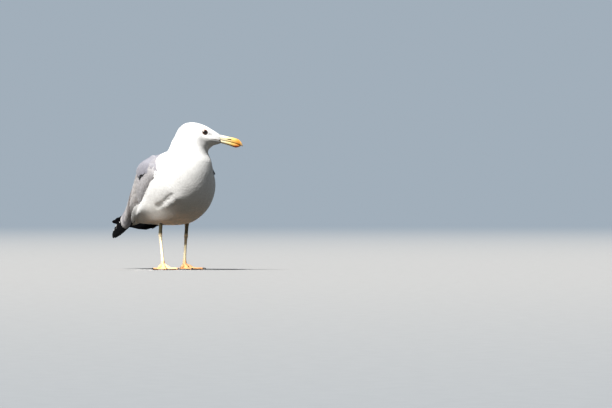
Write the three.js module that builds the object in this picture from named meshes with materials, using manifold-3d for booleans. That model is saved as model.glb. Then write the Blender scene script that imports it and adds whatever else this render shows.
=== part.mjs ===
// A yellow-legged gull, life size, standing with its head turned to its left.
// Millimetres. +X is the way the trunk faces, +Y the bird's left, +Z up, and the floor is Z = 0.
import * as THREE from "three";
import { mergeVertices } from "three/addons/utils/BufferGeometryUtils.js";
import Module from "manifold-3d";

const wasm = await Module();
wasm.setup();

// ---------------------------------------------------------------- driving dimensions
const GAP = 0.3; // left between neighbouring pieces
const HEAD_TURN = THREE.MathUtils.degToRad(65); // how far the head looks to the left
const NECK_AXIS_X = 78; // the upright line that the neck twists about
const BODY_SIDES = 26; // points round the trunk, neck and head
const RINGS_PER_STATION = 2;

// The plumage outline of trunk, neck and head, looking straight ahead, as rings that fan round the breast
// and throat. Each station has its highest and lowest point in the middle plane, its half width, how high
// the widest point is between them (0 to 1), how square it is above and below it (2 is an ellipse), and the
// share of the head's turn that it takes.
const BODY_STATIONS = [
  { name: "tail root", top: [-214, 118], low: [-210, 107], half: 14, wide: 0.5, square: [2, 2.2], turn: 0 },
  { name: "coverts", top: [-186, 139], low: [-178, 103], half: 24, wide: 0.45, square: [2, 2.2], turn: 0 },
  { name: "rump", top: [-154, 170], low: [-134, 101], half: 37, wide: 0.45, square: [2, 2.3], turn: 0 },
  { name: "vent", top: [-120, 201], low: [-90, 100], half: 50, wide: 0.45, square: [2.1, 2.3], turn: 0 },
  { name: "flank", top: [-86, 228], low: [-46, 99], half: 61, wide: 0.46, square: [2.2, 2.4], turn: 0 },
  { name: "thigh", top: [-54, 247], low: [0, 99], half: 71, wide: 0.48, square: [2.3, 2.4], turn: 0 },
  { name: "belly", top: [-24, 256], low: [42, 104], half: 74, wide: 0.52, square: [2.4, 2.3], turn: 0 },
  { name: "mantle", top: [0, 259], low: [80, 120], half: 74, wide: 0.55, square: [2.4, 2.2], turn: 0 },
  { name: "breast", top: [17, 262], low: [106, 145], half: 70, wide: 0.55, square: [2.3, 2.1], turn: 0.02 },
  { name: "crop", top: [28, 264], low: [121, 175], half: 62, wide: 0.55, square: [2.1, 2], turn: 0.1 },
  { name: "neck root", top: [34, 267], low: [127, 208], half: 54, wide: 0.52, square: [2, 2], turn: 0.27 },
  { name: "neck", top: [36, 273], low: [126, 236], half: 46, wide: 0.5, square: [2, 2], turn: 0.5 },
  { name: "throat", top: [39.5, 282], low: [119.5, 255], half: 39, wide: 0.5, square: [2, 2], turn: 0.75 },
  { name: "nape", top: [46, 293], low: [120, 264], half: 34, wide: 0.52, square: [2, 2], turn: 0.93 },
  { name: "occiput", top: [54, 309], low: [125.5, 270.5], half: 30.5, wide: 0.55, square: [2, 1.9], turn: 1 },
  { name: "crown", top: [68, 321], low: [131, 275.5], half: 28, wide: 0.55, square: [2.1, 1.8], turn: 1 },
  { name: "brow", top: [88, 323.8], low: [137, 278], half: 25, wide: 0.55, square: [2.2, 1.8], turn: 1 },
  { name: "front", top: [110, 318], low: [141.5, 278.6], half: 20.5, wide: 0.52, square: [2.2, 1.8], turn: 1 },
  { name: "lores", top: [129, 307.6], low: [145, 278.8], half: 15, wide: 0.48, square: [2.2, 1.9], turn: 1 },
  { name: "bill root", top: [145, 297.2], low: [147.5, 279], half: 9, wide: 0.48, square: [2.2, 2], turn: 1 },
];
const TRUNK_END = 9.6; // the stations between which the whole is parted
const NECK_END = 13.2;
const PART_STEP = 0.012; // in stations, which leaves about GAP between the two faces

// Bill, in the same straight-ahead frame: culmen and cutting edge of the upper half, cutting edge and keel of
// the lower, with half widths, at stations from the feathers to the tip.
const BILL_UPPER = [
  { x: 144.6, top: 297.0, low: 285.6, half: 8.2 },
  { x: 156, top: 295.2, low: 284.0, half: 7.5 },
  { x: 167, top: 293.2, low: 282.4, half: 6.6 },
  { x: 178, top: 291.4, low: 280.3, half: 5.6 },
  { x: 186, top: 288.8, low: 278.4, half: 4.6 },
  { x: 191.3, top: 284.2, low: 276.2, half: 3.4 },
  { x: 194, top: 279.0, low: 274.0, half: 2.0 },
  { x: 194.8, top: 275.6, low: 273.0, half: 0.9 },
];
const BILL_LOWER = [
  { x: 147.4, top: 284.9, low: 278.8, half: 7.3 },
  { x: 156, top: 283.5, low: 276.7, half: 6.6 },
  { x: 167, top: 281.9, low: 274.0, half: 5.6 },
  { x: 176, top: 280.1, low: 271.4, half: 4.6 },
  { x: 181, top: 279.1, low: 270.9, half: 4.0 },
  { x: 187, top: 277.6, low: 273.0, half: 2.8 },
  { x: 190.5, top: 275.8, low: 274.3, half: 1.2 },
];

// The centre of each eyeball, as seen looking straight ahead; out is its distance from the middle plane.
const EYE = { x: 110.5, z: 300.6, out: 18.5, radius: 7.8 };

// A folded wing as the right one lies: stations from the wrist back, each with its outer face from the lower
// edge to the upper as points [out from the middle, height].
const WING_STATIONS = [
  { x: 54, face: [[72, 204], [72.5, 209], [72, 214], [70.5, 219], [68, 224]] },
  { x: 35, face: [[74.5, 192], [77, 203], [77, 216], [73, 230], [62, 243]] },
  { x: 10, face: [[74.5, 171], [78.5, 188], [78.5, 209], [74, 232], [51, 250.5]] },
  { x: -15, face: [[71, 150], [76.5, 172], [77.5, 198], [72, 229], [44, 252.5]] },
  { x: -40, face: [[66, 137], [73, 162], [73.5, 191], [66, 225], [32, 249.5]] },
  { x: -65, face: [[59, 126], [67, 150], [67, 179], [58, 212], [23, 241]] },
  { x: -90, face: [[50, 115], [60, 138], [60.5, 166], [51, 197], [16, 228]] },
  { x: -115, face: [[42, 105], [53, 127], [53, 152], [44, 180], [10, 209]] },
  { x: -140, face: [[36, 99], [45, 117], [44, 139], [35, 164], [6, 189]] },
  { x: -165, face: [[32, 93], [38, 108], [37, 127], [29, 148], [4, 170]] },
  { x: -190, face: [[29, 86], [33, 99], [31, 115], [24, 132], [4, 151]] },
  { x: -212, face: [[26, 80], [29, 91], [27, 104], [20, 119], [4, 136]] },
  { x: -226, face: [[24, 76], [26, 85], [25, 96], [19, 108], [6, 121]] },
];
const WING_THICK = 6;
const WING_TIP_STATIONS = [
  { x: -218, face: [[23.5, 79], [24.5, 86], [24, 94], [21, 103], [13, 112]] },
  { x: -243, face: [[22, 73], [23, 79], [22.5, 86], [21, 93], [16, 101]] },
  { x: -266, face: [[19, 68.5], [20, 73], [19.5, 78], [18.5, 84], [16, 90]] },
  { x: -282, face: [[15, 67.5], [15.5, 70], [15.5, 73], [15, 77], [14, 81]] },
  { x: -290, face: [[12.5, 69], [12.8, 70.2], [12.8, 71.5], [12.6, 73], [12.2, 74.5]] },
];
const WING_TIP_THICK = 4;
const EDGE_THICK = 1.2; // of wing and tail, at their edges
const WING_SIDES = { left: { lift: 26, longer: 27 }, right: { lift: 0, longer: 0 } }; // at the tip
const WING_REAR_X = -110; // where that lift begins
const CUT_OUT = 30; // how far outside a wing the trunk is cut away

// The closed tail, a shallow roof of feathers.
const TAIL = {
  root: { x: -165, z: 112, half: 16, thick: 5 },
  tip: { x: -250, z: 99, half: 18, thick: 2 },
  roof: 4, // how far its sides droop
};

// Legs, as [x, y] of the foot's joint, the ankle and where the leg enters the flank, with the headings of the
// outer, middle and inner toe in degrees. The right foot is set a little ahead of the left and turned out.
const LEGS = {
  left: { side: 1, foot: [-24, 38], ankle: [-27, 43, 73], knee: [-14, 40, 122], toes: [38, -7, -46] },
  right: { side: -1, foot: [0, -27], ankle: [-11, -28, 76], knee: [4, -33, 122], toes: [-54, -16, 30] },
};
const FOOT_JOINT_Z = 12.5;
const TARSUS_FOOT_Z = 20; // where the foot ends and the tarsus begins
const TOE_LENGTHS = [46, 50, 40]; // outer, middle, inner, without the claws
const TOE_DOWN_SHARE = 0.6; // how far along a toe it comes down to the floor
const TOE_HALF_HEIGHT = 2.9;
const TOE_ROOT_SHARE = 0.3; // the first part of a toe, which is swollen
const TOE_ROOT_SWELL = 1.3;
const TOE_FLOOR_Z = 2.3; // of a toe's middle line once it is down
const TOE_RADII = [3.9, 2.5]; // at the joint and at the end
const CLAW_LENGTH = 8;
const WEB_THICK = 1.3;
const WEB_Z = 1.9; // middle of the web sheet at the toes' ends
const WEB_SAG = 1.5; // how far it hangs between the toes near the joint
const WEB_NOTCH = 0.2; // share by which its free edge is drawn in

// Radii along the parts of a leg, each [across, fore and aft], and where they lie on it as shares of its length.
const TARSUS = {
  shares: [0, 0.15, 0.5, 0.85, 1],
  radii: [[3.5, 3.9], [2.9, 3.6], [2.7, 3.4], [3.1, 4], [4.1, 5.2]],
};
const SHANK = {
  shares: [0, 0.12, 0.35, 0.65, 1],
  radii: [[4.1, 5.2], [3.9, 4.8], [3.7, 4.4], [4.6, 5.6], [7.5, 9]],
};
const JOINT_RADII = [[3.6, 3.9], [4.6, 4.8], [3.6, 4.2]];
const HIND_TOE_RADII = [[2.2, 2.2], [1.7, 1.7], [1.1, 1.1]];
const CLAW_RADII = [[1.7, 1.7], [1.25, 1.4], [0.35, 0.35]];
const TOE_SHARES = [0, 0.15, 0.35, 0.5, 0.7, 0.85, 1];
const TOE_KNUCKLES = [1, 0.86, 1.04, 0.9, 1.06, 0.92, 0.9]; // thick at the joints, thin between

const COLOURS = {
  white: 0xf2f1ee,
  grey: 0x9a9da3,
  black: 0x1b1b1d,
  bill: 0xe9b24a,
  leg: 0xe8c79a,
  claw: 0x2a2623,
  eye: 0x2b1c12,
};

// ---------------------------------------------------------------- helpers
const material = (name, roughness = 0.8) =>
  new THREE.MeshStandardMaterial({ color: COLOURS[name], roughness, metalness: 0 });

// A closed solid through rings of equally many points, with a fan over each end.
function loft(rings) {
  const n = rings[0].length;
  const points = rings.flat();
  const index = [];
  rings.slice(1).forEach((ring, i) => {
    for (let k = 0; k < n; k++) {
      const a = i * n + k;
      const b = i * n + ((k + 1) % n);
      index.push(a, b, a + n, b, b + n, a + n);
    }
  });
  [0, rings.length - 1].forEach((r) => {
    const centre = points.length;
    points.push(rings[r].reduce((sum, p) => sum.clone().add(p), new THREE.Vector3()).divideScalar(n));
    for (let k = 0; k < n; k++) {
      const a = r * n + k;
      const b = r * n + ((k + 1) % n);
      index.push(...(r === 0 ? [centre, b, a] : [centre, a, b]));
    }
  });
  return new THREE.BufferGeometry().setFromPoints(points).setIndex(index);
}

// The geometry as a manifold-3d solid, turned the right way out.
function solidOf(geometry) {
  const g = geometry.clone();
  ["normal", "uv"].forEach((name) => g.deleteAttribute(name));
  const merged = mergeVertices(g, 1e-4);
  const build = (triVerts) =>
    new wasm.Manifold(
      new wasm.Mesh({ numProp: 3, vertProperties: merged.attributes.position.array, triVerts }),
    );
  const solid = build(new Uint32Array(merged.index.array));
  return solid.volume() > 0 ? solid : build(new Uint32Array(merged.index.array).reverse());
}

function geometryOf(solid) {
  const mesh = solid.getMesh();
  return new THREE.BufferGeometry()
    .setAttribute("position", new THREE.BufferAttribute(new Float32Array(mesh.vertProperties), 3))
    .setIndex(new THREE.BufferAttribute(new Uint32Array(mesh.triVerts), 1));
}

// Smooth value between equally spaced knots, at a place counted in knots.
function between(knots, at) {
  const flat = (v) => (Array.isArray(v) ? v : [v]);
  const last = knots.length - 1;
  const i = Math.min(Math.max(Math.floor(at), 0), last - 1);
  const t = at - i;
  const [p0, p1, p2, p3] = [i - 1, i, i + 1, i + 2].map((k) => flat(knots[Math.min(Math.max(k, 0), last)]));
  return p1.map((b, k) => {
    const [a, c, d] = [p0[k], p2[k], p3[k]];
    return b + 0.5 * t * (c - a + t * (2 * a - 5 * b + 4 * c - d + t * (3 * (b - c) + d - a)));
  });
}

const mix = THREE.MathUtils.lerp;
const steps = (from, to, count) => Array.from({ length: count + 1 }, (_, i) => mix(from, to, i / count));
const circle = (sides) => steps(0, 2 * Math.PI, sides).slice(0, -1); // the angles of its points

// Superellipse: the point at this angle, each of x and y from -1 to 1.
function rounded(angle, square) {
  const [c, s] = [Math.cos(angle), Math.sin(angle)];
  return [Math.sign(c) * Math.abs(c) ** (2 / square), Math.sign(s) * Math.abs(s) ** (2 / square)];
}

function turnHead(point, share) {
  const axis = new THREE.Vector3(NECK_AXIS_X, 0, 0);
  return point.sub(axis).applyAxisAngle(new THREE.Vector3(0, 0, 1), HEAD_TURN * share).add(axis);
}

// ---------------------------------------------------------------- trunk, neck and head
function bodyRing(at, grow = 0) {
  const value = (key) => between(BODY_STATIONS.map((s) => s[key]), at);
  const [topX, topZ] = value("top");
  const [lowX, lowZ] = value("low");
  const [half, wide, turn] = [value("half")[0], value("wide")[0], value("turn")[0]];
  const square = value("square");
  const top = new THREE.Vector3(topX, 0, topZ);
  const low = new THREE.Vector3(lowX, 0, lowZ);
  const centre = low.clone().lerp(top, wide);
  const [up, down] = [top.sub(centre), low.sub(centre)];
  return circle(BODY_SIDES).map((angle) => {
    const above = Math.sin(angle) >= 0;
    const [across, along] = rounded(angle, above ? square[0] : square[1]);
    const reach = above ? up : down;
    const point = centre.clone().addScaledVector(reach, Math.abs(along) * (1 + grow / reach.length()));
    point.y = across * (half + grow);
    return turnHead(point, turn);
  });
}

function bodySolid(from, to, grow = 0) {
  const count = Math.round((to - from) * RINGS_PER_STATION);
  return solidOf(loft(steps(from, to, count).map((at) => bodyRing(at, grow))));
}

// ---------------------------------------------------------------- wings and tail
// A thin shell on one side of the body: each ring runs up along the outer face and back down the inner.
// grow widens it all round and out moves the outer face away from the body.
function wingSolid(stations, thick, sideName, grow = 0, out = grow) {
  const side = sideName === "left" ? 1 : -1;
  const { lift, longer } = WING_SIDES[sideName];
  const tipX = WING_TIP_STATIONS.at(-1).x;
  const across = steps(0, 1, 7);
  const rings = steps(0, stations.length - 1, stations.length - 1).map((at, i, all) => {
    const [x] = between(stations.map((s) => s.x), at);
    const face = [0, 1, 2, 3, 4].map((k) => between(stations.map((s) => s.face[k]), at));
    const rear = Math.max(0, (WING_REAR_X - x) / (WING_REAR_X - tipX)) ** 1.3;
    const endGrow = i === 0 ? grow : i === all.length - 1 ? -grow : 0;
    const place = (v, outward) => {
      const tangent = new THREE.Vector2(...between(face, Math.min(4, 4 * v + 0.1)))
        .sub(new THREE.Vector2(...between(face, Math.max(0, 4 * v - 0.1))))
        .normalize();
      const point = new THREE.Vector2(...between(face, 4 * v))
        .addScaledVector(tangent, (v === 0 ? -1 : v === 1 ? 1 : 0) * grow)
        .addScaledVector(new THREE.Vector2(tangent.y, -tangent.x), outward);
      return new THREE.Vector3(x + endGrow - longer * rear ** 2, side * point.x, point.y + lift * rear);
    };
    const depth = (v) => EDGE_THICK + (thick - EDGE_THICK) * Math.sqrt(4 * v * (1 - v)) + grow;
    return [...across.map((v) => place(v, out)), ...across.slice().reverse().map((v) => place(v, -depth(v)))];
  });
  return solidOf(loft(rings));
}

function tailSolid(grow = 0) {
  const across = steps(-1, 1, 8);
  const rings = steps(0, 1, 4).map((t) => {
    const { root, tip } = TAIL;
    const x = mix(root.x, tip.x, t);
    const half = mix(root.half, tip.half, Math.sqrt(t)) + grow;
    const thick = mix(root.thick, tip.thick, t);
    const middle = mix(root.z, tip.z, t);
    const face = (v, side) => {
      const edge = EDGE_THICK / 2 + ((thick - EDGE_THICK) / 2) * (1 - v * v) + grow;
      return new THREE.Vector3(x, v * half, middle - TAIL.roof * v * v + side * edge);
    };
    return [...across.map((v) => face(v, 1)), ...across.slice().reverse().map((v) => face(v, -1))];
  });
  return solidOf(loft(rings));
}

// ---------------------------------------------------------------- bill and eyes
function billSolid(stations, squareTop, squareLow, grow = 0) {
  const rings = steps(0, stations.length - 1, stations.length - 1).map((at) => {
    const value = (key) => between(stations.map((s) => s[key]), at)[0];
    const [x, top, low, half] = ["x", "top", "low", "half"].map(value);
    const middle = (top + low) / 2;
    return circle(14).map((angle) => {
      const [across, along] = rounded(angle, Math.sin(angle) >= 0 ? squareTop : squareLow);
      const z = middle + along * ((top - low) / 2 + grow);
      return turnHead(new THREE.Vector3(x, across * (half + grow), z), 1);
    });
  });
  return solidOf(loft(rings));
}

function eyeCentre(side) {
  return turnHead(new THREE.Vector3(EYE.x, side * EYE.out, EYE.z), 1);
}

function eyeSolid(side, grow = 0) {
  const centre = eyeCentre(side);
  return solidOf(new THREE.SphereGeometry(EYE.radius + grow, 12, 9).translate(...centre));
}

// ---------------------------------------------------------------- legs and feet
// A tube through points, with a radius [across, along the leg's swing] at each.
function tubeSolid(points, radii, sides, perSpan) {
  const spans = points.length - 1;
  const at = (t) => new THREE.Vector3(...between(points, t));
  const rings = steps(0, spans, spans * perSpan).map((t) => {
    const centre = at(t);
    const heading = at(Math.min(t + 0.05, spans)).sub(at(Math.max(t - 0.05, 0))).normalize();
    const upright = Math.abs(heading.z) > 0.8;
    const across = new THREE.Vector3(0, 0, 1).cross(heading);
    if (upright) across.set(0, 1, 0);
    across.addScaledVector(heading, -across.dot(heading)).normalize();
    const other = heading.clone().cross(across);
    const [ra, rb] = between(radii, t);
    return circle(sides).map((angle) => {
      const point = centre.clone().addScaledVector(across, ra * Math.cos(angle));
      return point.addScaledVector(other, rb * Math.sin(angle));
    });
  });
  return solidOf(loft(rings));
}

const slab = (from, to) =>
  solidOf(new THREE.BoxGeometry(600, 600, to - from).translate(0, 0, (from + to) / 2));
const belowFloor = slab(-60, 0);

// Where a toe's middle line is, this share of the way along it.
function toePoint(leg, toe, share) {
  const heading = THREE.MathUtils.degToRad(leg.toes[toe]);
  const reach = TOE_LENGTHS[toe] * share;
  const [x, y] = leg.foot;
  const drop = Math.min(1, share / TOE_DOWN_SHARE);
  const z = mix(FOOT_JOINT_Z - 2, TOE_FLOOR_Z, drop * drop * (3 - 2 * drop));
  return new THREE.Vector3(x + reach * Math.cos(heading), y + reach * Math.sin(heading), z);
}

// The sheet between two neighbouring toes, with its free edge drawn in.
function webSolid(leg, toeA, toeB) {
  const rings = steps(0.04, 0.94, 6).map((share) => {
    const across = steps(0, 1, 4).map((v) => {
      const pull = 1 - WEB_NOTCH * share * Math.sin(Math.PI * v);
      const a = toePoint(leg, toeA, share * pull);
      const b = toePoint(leg, toeB, share * pull);
      const point = a.lerp(b, v);
      point.z = Math.max(WEB_Z, point.z - WEB_SAG * Math.sin(Math.PI * v) * (1 - share));
      return point;
    });
    const moved = (dz) => across.map((p) => p.clone().add(new THREE.Vector3(0, 0, dz)));
    return [...moved(WEB_THICK / 2), ...moved(-WEB_THICK / 2).reverse()];
  });
  return solidOf(loft(rings));
}

function toeSolid(leg, toe) {
  const points = TOE_SHARES.map((share) => toePoint(leg, toe, share).toArray());
  const radii = TOE_SHARES.map((share, i) => {
    const r = mix(TOE_RADII[0], TOE_RADII[1], share) * TOE_KNUCKLES[i];
    return [r, Math.min(r, TOE_HALF_HEIGHT) * (share < TOE_ROOT_SHARE ? TOE_ROOT_SWELL : 1)];
  });
  return tubeSolid(points, radii, 8, 1);
}

function clawSolid(leg, toe) {
  const heading = THREE.MathUtils.degToRad(leg.toes[toe]);
  const base = toePoint(leg, toe, 1);
  const along = (d, z) => [base.x + d * Math.cos(heading), base.y + d * Math.sin(heading), z];
  const points = [along(GAP, 2.3), along(CLAW_LENGTH * 0.5, 2.6), along(CLAW_LENGTH, 1.1)];
  return tubeSolid(points, CLAW_RADII, 6, 2);
}

function hindToeSolid(leg) {
  const [x, y] = leg.foot;
  const inner = -leg.side;
  const points = [[x - 2, y + inner * 2, 11], [x - 8, y + inner * 4, 6], [x - 13.5, y + inner * 5, 0]];
  return tubeSolid(points, HIND_TOE_RADII, 6, 1);
}

function footSolid(leg) {
  const [x, y] = leg.foot;
  const joint = tubeSolid([[x, y, TARSUS_FOOT_Z + 1], [x + 0.5, y, 11], [x + 2, y, -1]], JOINT_RADII, 10, 2);
  const toes = [0, 1, 2].map((toe) => toeSolid(leg, toe));
  const webs = [webSolid(leg, 0, 1), webSolid(leg, 1, 2)];
  return [...toes, ...webs, hindToeSolid(leg)]
    .reduce((all, piece) => all.add(piece), joint)
    .subtract(belowFloor)
    .subtract(slab(TARSUS_FOOT_Z, 60));
}

function tarsusSolid(leg) {
  const [x, y] = leg.foot;
  const [ax, ay, az] = leg.ankle;
  const at = (share) => [mix(x, ax, share), mix(y, ay, share), mix(TARSUS_FOOT_Z - 1, az + 1, share)];
  return tubeSolid(TARSUS.shares.map(at), TARSUS.radii, 10, 2)
    .subtract(slab(0, TARSUS_FOOT_Z + GAP))
    .subtract(slab(az, 200));
}

function shankSolid(leg, trunk) {
  const [ax, ay, az] = leg.ankle;
  const [kx, ky, kz] = leg.knee;
  const at = (share) => [mix(ax, kx, share), mix(ay, ky, share), mix(az - 1, kz, share)];
  return tubeSolid(SHANK.shares.map(at), SHANK.radii, 10, 2)
    .subtract(slab(0, az + GAP))
    .subtract(trunk);
}

// ---------------------------------------------------------------- assembly
const gull = new THREE.Group();

function addPart(name, solid, look) {
  const mesh = new THREE.Mesh(geometryOf(solid), look);
  mesh.name = name;
  gull.add(mesh);
}

const lastStation = BODY_STATIONS.length - 1;
const sides = ["left", "right"];
const wings = sides.map((side) => wingSolid(WING_STATIONS, WING_THICK, side));
const wingRoom = sides.map((side) => wingSolid(WING_STATIONS, WING_THICK, side, GAP, CUT_OUT));
const tipRoom = sides.map((side) => wingSolid(WING_TIP_STATIONS, WING_TIP_THICK, side, GAP));
const cut = (solid, rooms) => rooms.reduce((left, room) => left.subtract(room), solid);
const largest = (solid) => solid.decompose().sort((a, b) => b.volume() - a.volume())[0];

const trunk = cut(bodySolid(0, TRUNK_END), [...wingRoom, tailSolid(GAP)]);
addPart("trunk", largest(trunk), material("white"));
addPart("neck", cut(bodySolid(TRUNK_END + PART_STEP, NECK_END), wingRoom), material("white"));
const head = bodySolid(NECK_END + PART_STEP, lastStation);
const headRoom = [
  eyeSolid(1, GAP),
  eyeSolid(-1, GAP),
  billSolid(BILL_UPPER, 2.0, 3.0, GAP),
  billSolid(BILL_LOWER, 3.0, 2.0, GAP),
];
addPart("head", largest(cut(head, headRoom)), material("white"));
addPart("tail", largest(cut(tailSolid(), tipRoom.concat(wingRoom))), material("white"));
addPart("bill_upper", billSolid(BILL_UPPER, 2.0, 3.0), material("bill", 0.4));
addPart("bill_lower", billSolid(BILL_LOWER, 3.0, 2.0), material("bill", 0.4));

sides.forEach((side, i) => {
  const leg = LEGS[side];
  addPart(`wing_${side}`, wings[i], material("grey"));
  const tip = wingSolid(WING_TIP_STATIONS, WING_TIP_THICK, side);
  addPart(`wing_tip_${side}`, largest(tip.subtract(wingRoom[i])), material("black"));
  addPart(`eye_${side}`, eyeSolid(leg.side), material("eye", 0.15));
  addPart(`shank_${side}`, largest(shankSolid(leg, bodySolid(0, TRUNK_END, GAP))), material("leg"));
  addPart(`tarsus_${side}`, tarsusSolid(leg), material("leg"));
  addPart(`foot_${side}`, footSolid(leg), material("leg"));
  ["outer", "middle", "inner"].forEach((toe, k) => {
    addPart(`claw_${side}_${toe}`, clawSolid(leg, k), material("claw", 0.5));
  });
});

// The frame's origin is on the floor, below the middle of the whole.
const box = new THREE.Box3().setFromObject(gull);
gull.position.set(-(box.min.x + box.max.x) / 2, -(box.min.y + box.max.y) / 2, 0);
gull.updateMatrixWorld(true);

export default gull;
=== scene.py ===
"""A life-size yellow-legged gull, standing with its head turned to its left.

Sizes in the tables are millimetres from the floor point between the feet, with +X the way the trunk faces,
+Y the bird's left and +Z up. point() and head_point() turn them into metres in the frame of the CAD.
"""
import math
import random

import bmesh
import bpy
import numpy as np
from mathutils import Matrix, Vector
from mathutils.bvhtree import BVHTree
from mathutils.kdtree import KDTree


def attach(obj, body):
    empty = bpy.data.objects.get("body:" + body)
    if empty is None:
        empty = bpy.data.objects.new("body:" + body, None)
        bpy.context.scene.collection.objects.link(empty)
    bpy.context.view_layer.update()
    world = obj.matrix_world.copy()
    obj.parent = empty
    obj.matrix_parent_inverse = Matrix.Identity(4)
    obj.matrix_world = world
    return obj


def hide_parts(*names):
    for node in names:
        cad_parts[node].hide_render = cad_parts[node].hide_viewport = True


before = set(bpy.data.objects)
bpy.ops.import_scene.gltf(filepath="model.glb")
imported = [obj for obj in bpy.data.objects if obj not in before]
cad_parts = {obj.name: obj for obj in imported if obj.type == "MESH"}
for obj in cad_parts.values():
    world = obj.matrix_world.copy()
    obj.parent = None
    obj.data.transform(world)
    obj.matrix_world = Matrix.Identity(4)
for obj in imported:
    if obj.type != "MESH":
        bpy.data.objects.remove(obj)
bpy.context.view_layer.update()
random.seed(7)
dice = np.random.default_rng(7)

# ---------------------------------------------------------------- sizes, millimetres
FEET = np.array((94.02, -13.48, 0.0))  # the point between the feet, in the frame
HEAD_TURN = math.radians(65)
NECK_AXIS_X = 78.0
VIEW = math.radians(63)  # the camera's bearing, from the bird's right side towards its front

# Outline of trunk, neck and head, looking straight ahead: highest point x, z, lowest point x, z, half width,
# height of the widest point (0 to 1), squareness above and below it, and share of the head's turn.
BODY = np.array([
    (-214, 118, -210, 107, 14, 0.50, 2.0, 2.2, 0),  # tail root
    (-186, 139, -178, 103, 24, 0.45, 2.0, 2.2, 0),  # tail coverts
    (-154, 170, -134, 101, 37, 0.45, 2.0, 2.5, 0),  # rump
    (-120, 201, -90, 100, 50, 0.45, 2.1, 2.9, 0),  # vent
    (-86, 228, -46, 99, 61, 0.45, 2.2, 3.1, 0),  # flank
    (-54, 247, 0, 99, 71, 0.48, 2.3, 2.7, 0),  # thigh
    (-24, 256, 42, 104, 74, 0.52, 2.4, 2.3, 0),  # belly
    (0, 259, 80, 120, 74, 0.55, 2.4, 2.2, 0),  # mantle
    (17, 262, 106, 145, 70, 0.55, 2.3, 2.1, 0.02),  # breast
    (28, 264, 121, 175, 62, 0.55, 2.1, 2.0, 0.1),  # crop
    (34, 267, 127, 208, 54, 0.52, 2.0, 2.0, 0.27),  # neck root
    (36, 273, 126, 236, 46, 0.50, 2.0, 2.0, 0.5),  # neck
    (39.5, 282, 119.5, 255, 39, 0.50, 2.0, 2.0, 0.75),  # throat
    (46, 293, 120, 264, 34, 0.52, 2.0, 2.0, 0.93),  # nape
    (54, 309, 125.5, 269.8, 30.5, 0.52, 2.0, 2.1, 1),  # occiput
    (68, 321, 131, 273.9, 28, 0.5, 2.1, 2.3, 1),  # crown
    (88, 323.8, 137, 275.6, 25, 0.48, 2.2, 2.6, 1),  # brow
    (110, 318, 141.5, 276.8, 20.5, 0.46, 2.2, 2.8, 1),  # front
    (129, 307.6, 145, 278.2, 14.5, 0.45, 2.2, 2.7, 1),  # lores
    (145, 297.2, 147.5, 278.8, 9, 0.46, 2.2, 2.6, 1),  # bill root
])
# At each of those stations: depth of the coat, length of a feather, and spacing of the feathers.
COAT = np.array([
    (3, 20, 4.2), (4, 22, 4.4), (5, 22, 4.4), (6, 21, 4.3), (6.5, 20, 4.2), (6.5, 19, 4.0), (7, 18, 3.8),
    (7, 16, 3.5), (7, 14.5, 3.2), (6.5, 13, 2.9), (6, 11.5, 2.6), (5.5, 10, 2.35), (4.5, 9, 2.15),
    (3.8, 8, 2.0), (3.2, 7, 1.8), (2.8, 6.2, 1.65), (2.2, 5.4, 1.5), (1.6, 4.4, 1.3), (1.2, 3.4, 1.1),
    (0.8, 2.5, 0.95),
])
# The right wing from the wrist back: x, then its outer face from the lower edge to the upper, each point as
# distance out from the middle and height.
WING = np.array([
    (54, 72, 204, 72.5, 209, 72, 214, 70.5, 219, 68, 224),
    (35, 74.5, 192, 77, 203, 77, 216, 73, 230, 62, 243),
    (10, 74.5, 171, 78.5, 188, 78.5, 209, 74, 232, 51, 250.5),
    (-15, 71, 150, 76.5, 172, 77.5, 198, 72, 229, 44, 252.5),
    (-40, 66, 137, 73, 162, 73.5, 191, 66, 225, 32, 249.5),
    (-65, 59, 126, 67, 150, 67, 179, 58, 212, 23, 241),
    (-90, 50, 115, 60, 138, 60.5, 166, 51, 197, 16, 228),
    (-115, 42, 105, 53, 127, 53, 152, 44, 180, 10, 209),
    (-140, 36, 99, 45, 117, 44, 139, 35, 164, 6, 189),
    (-165, 32, 93, 38, 108, 37, 127, 29, 148, 4, 170),
    (-190, 29, 86, 33, 99, 31, 115, 24, 132, 4, 151),
    (-212, 26, 80, 29, 91, 27, 104, 20, 119, 4, 136),
    (-226, 24, 76, 26, 85, 25, 96, 19, 108, 6, 121),
    (-243, 22, 73, 23, 79, 22.5, 87, 21, 95, 16, 106),
    (-266, 19, 68.5, 20, 73.5, 19.5, 80, 18.5, 88, 16, 97),
    (-282, 15, 67.5, 15.5, 70.5, 15.5, 75, 15, 80, 14, 87),
    (-290, 12.5, 67, 12.8, 69.5, 12.8, 73.5, 12.6, 78, 12.2, 83.5),
])
WING_REAR_X = -110.0
WING_LIFT = {"left": 31.0, "right": 0.0}
WING_LONGER = {"left": 27.0, "right": 0.0}
WING_SAG = {"left": 10.5, "right": 0.0}  # of the lower edge under the vent
TAIL_ROOT = (-165.0, 112.0, 16.0)  # x, z and half width
TAIL_TIP = (-250.0, 99.0, 18.0)
TAIL_ROOF = 4.0
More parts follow.
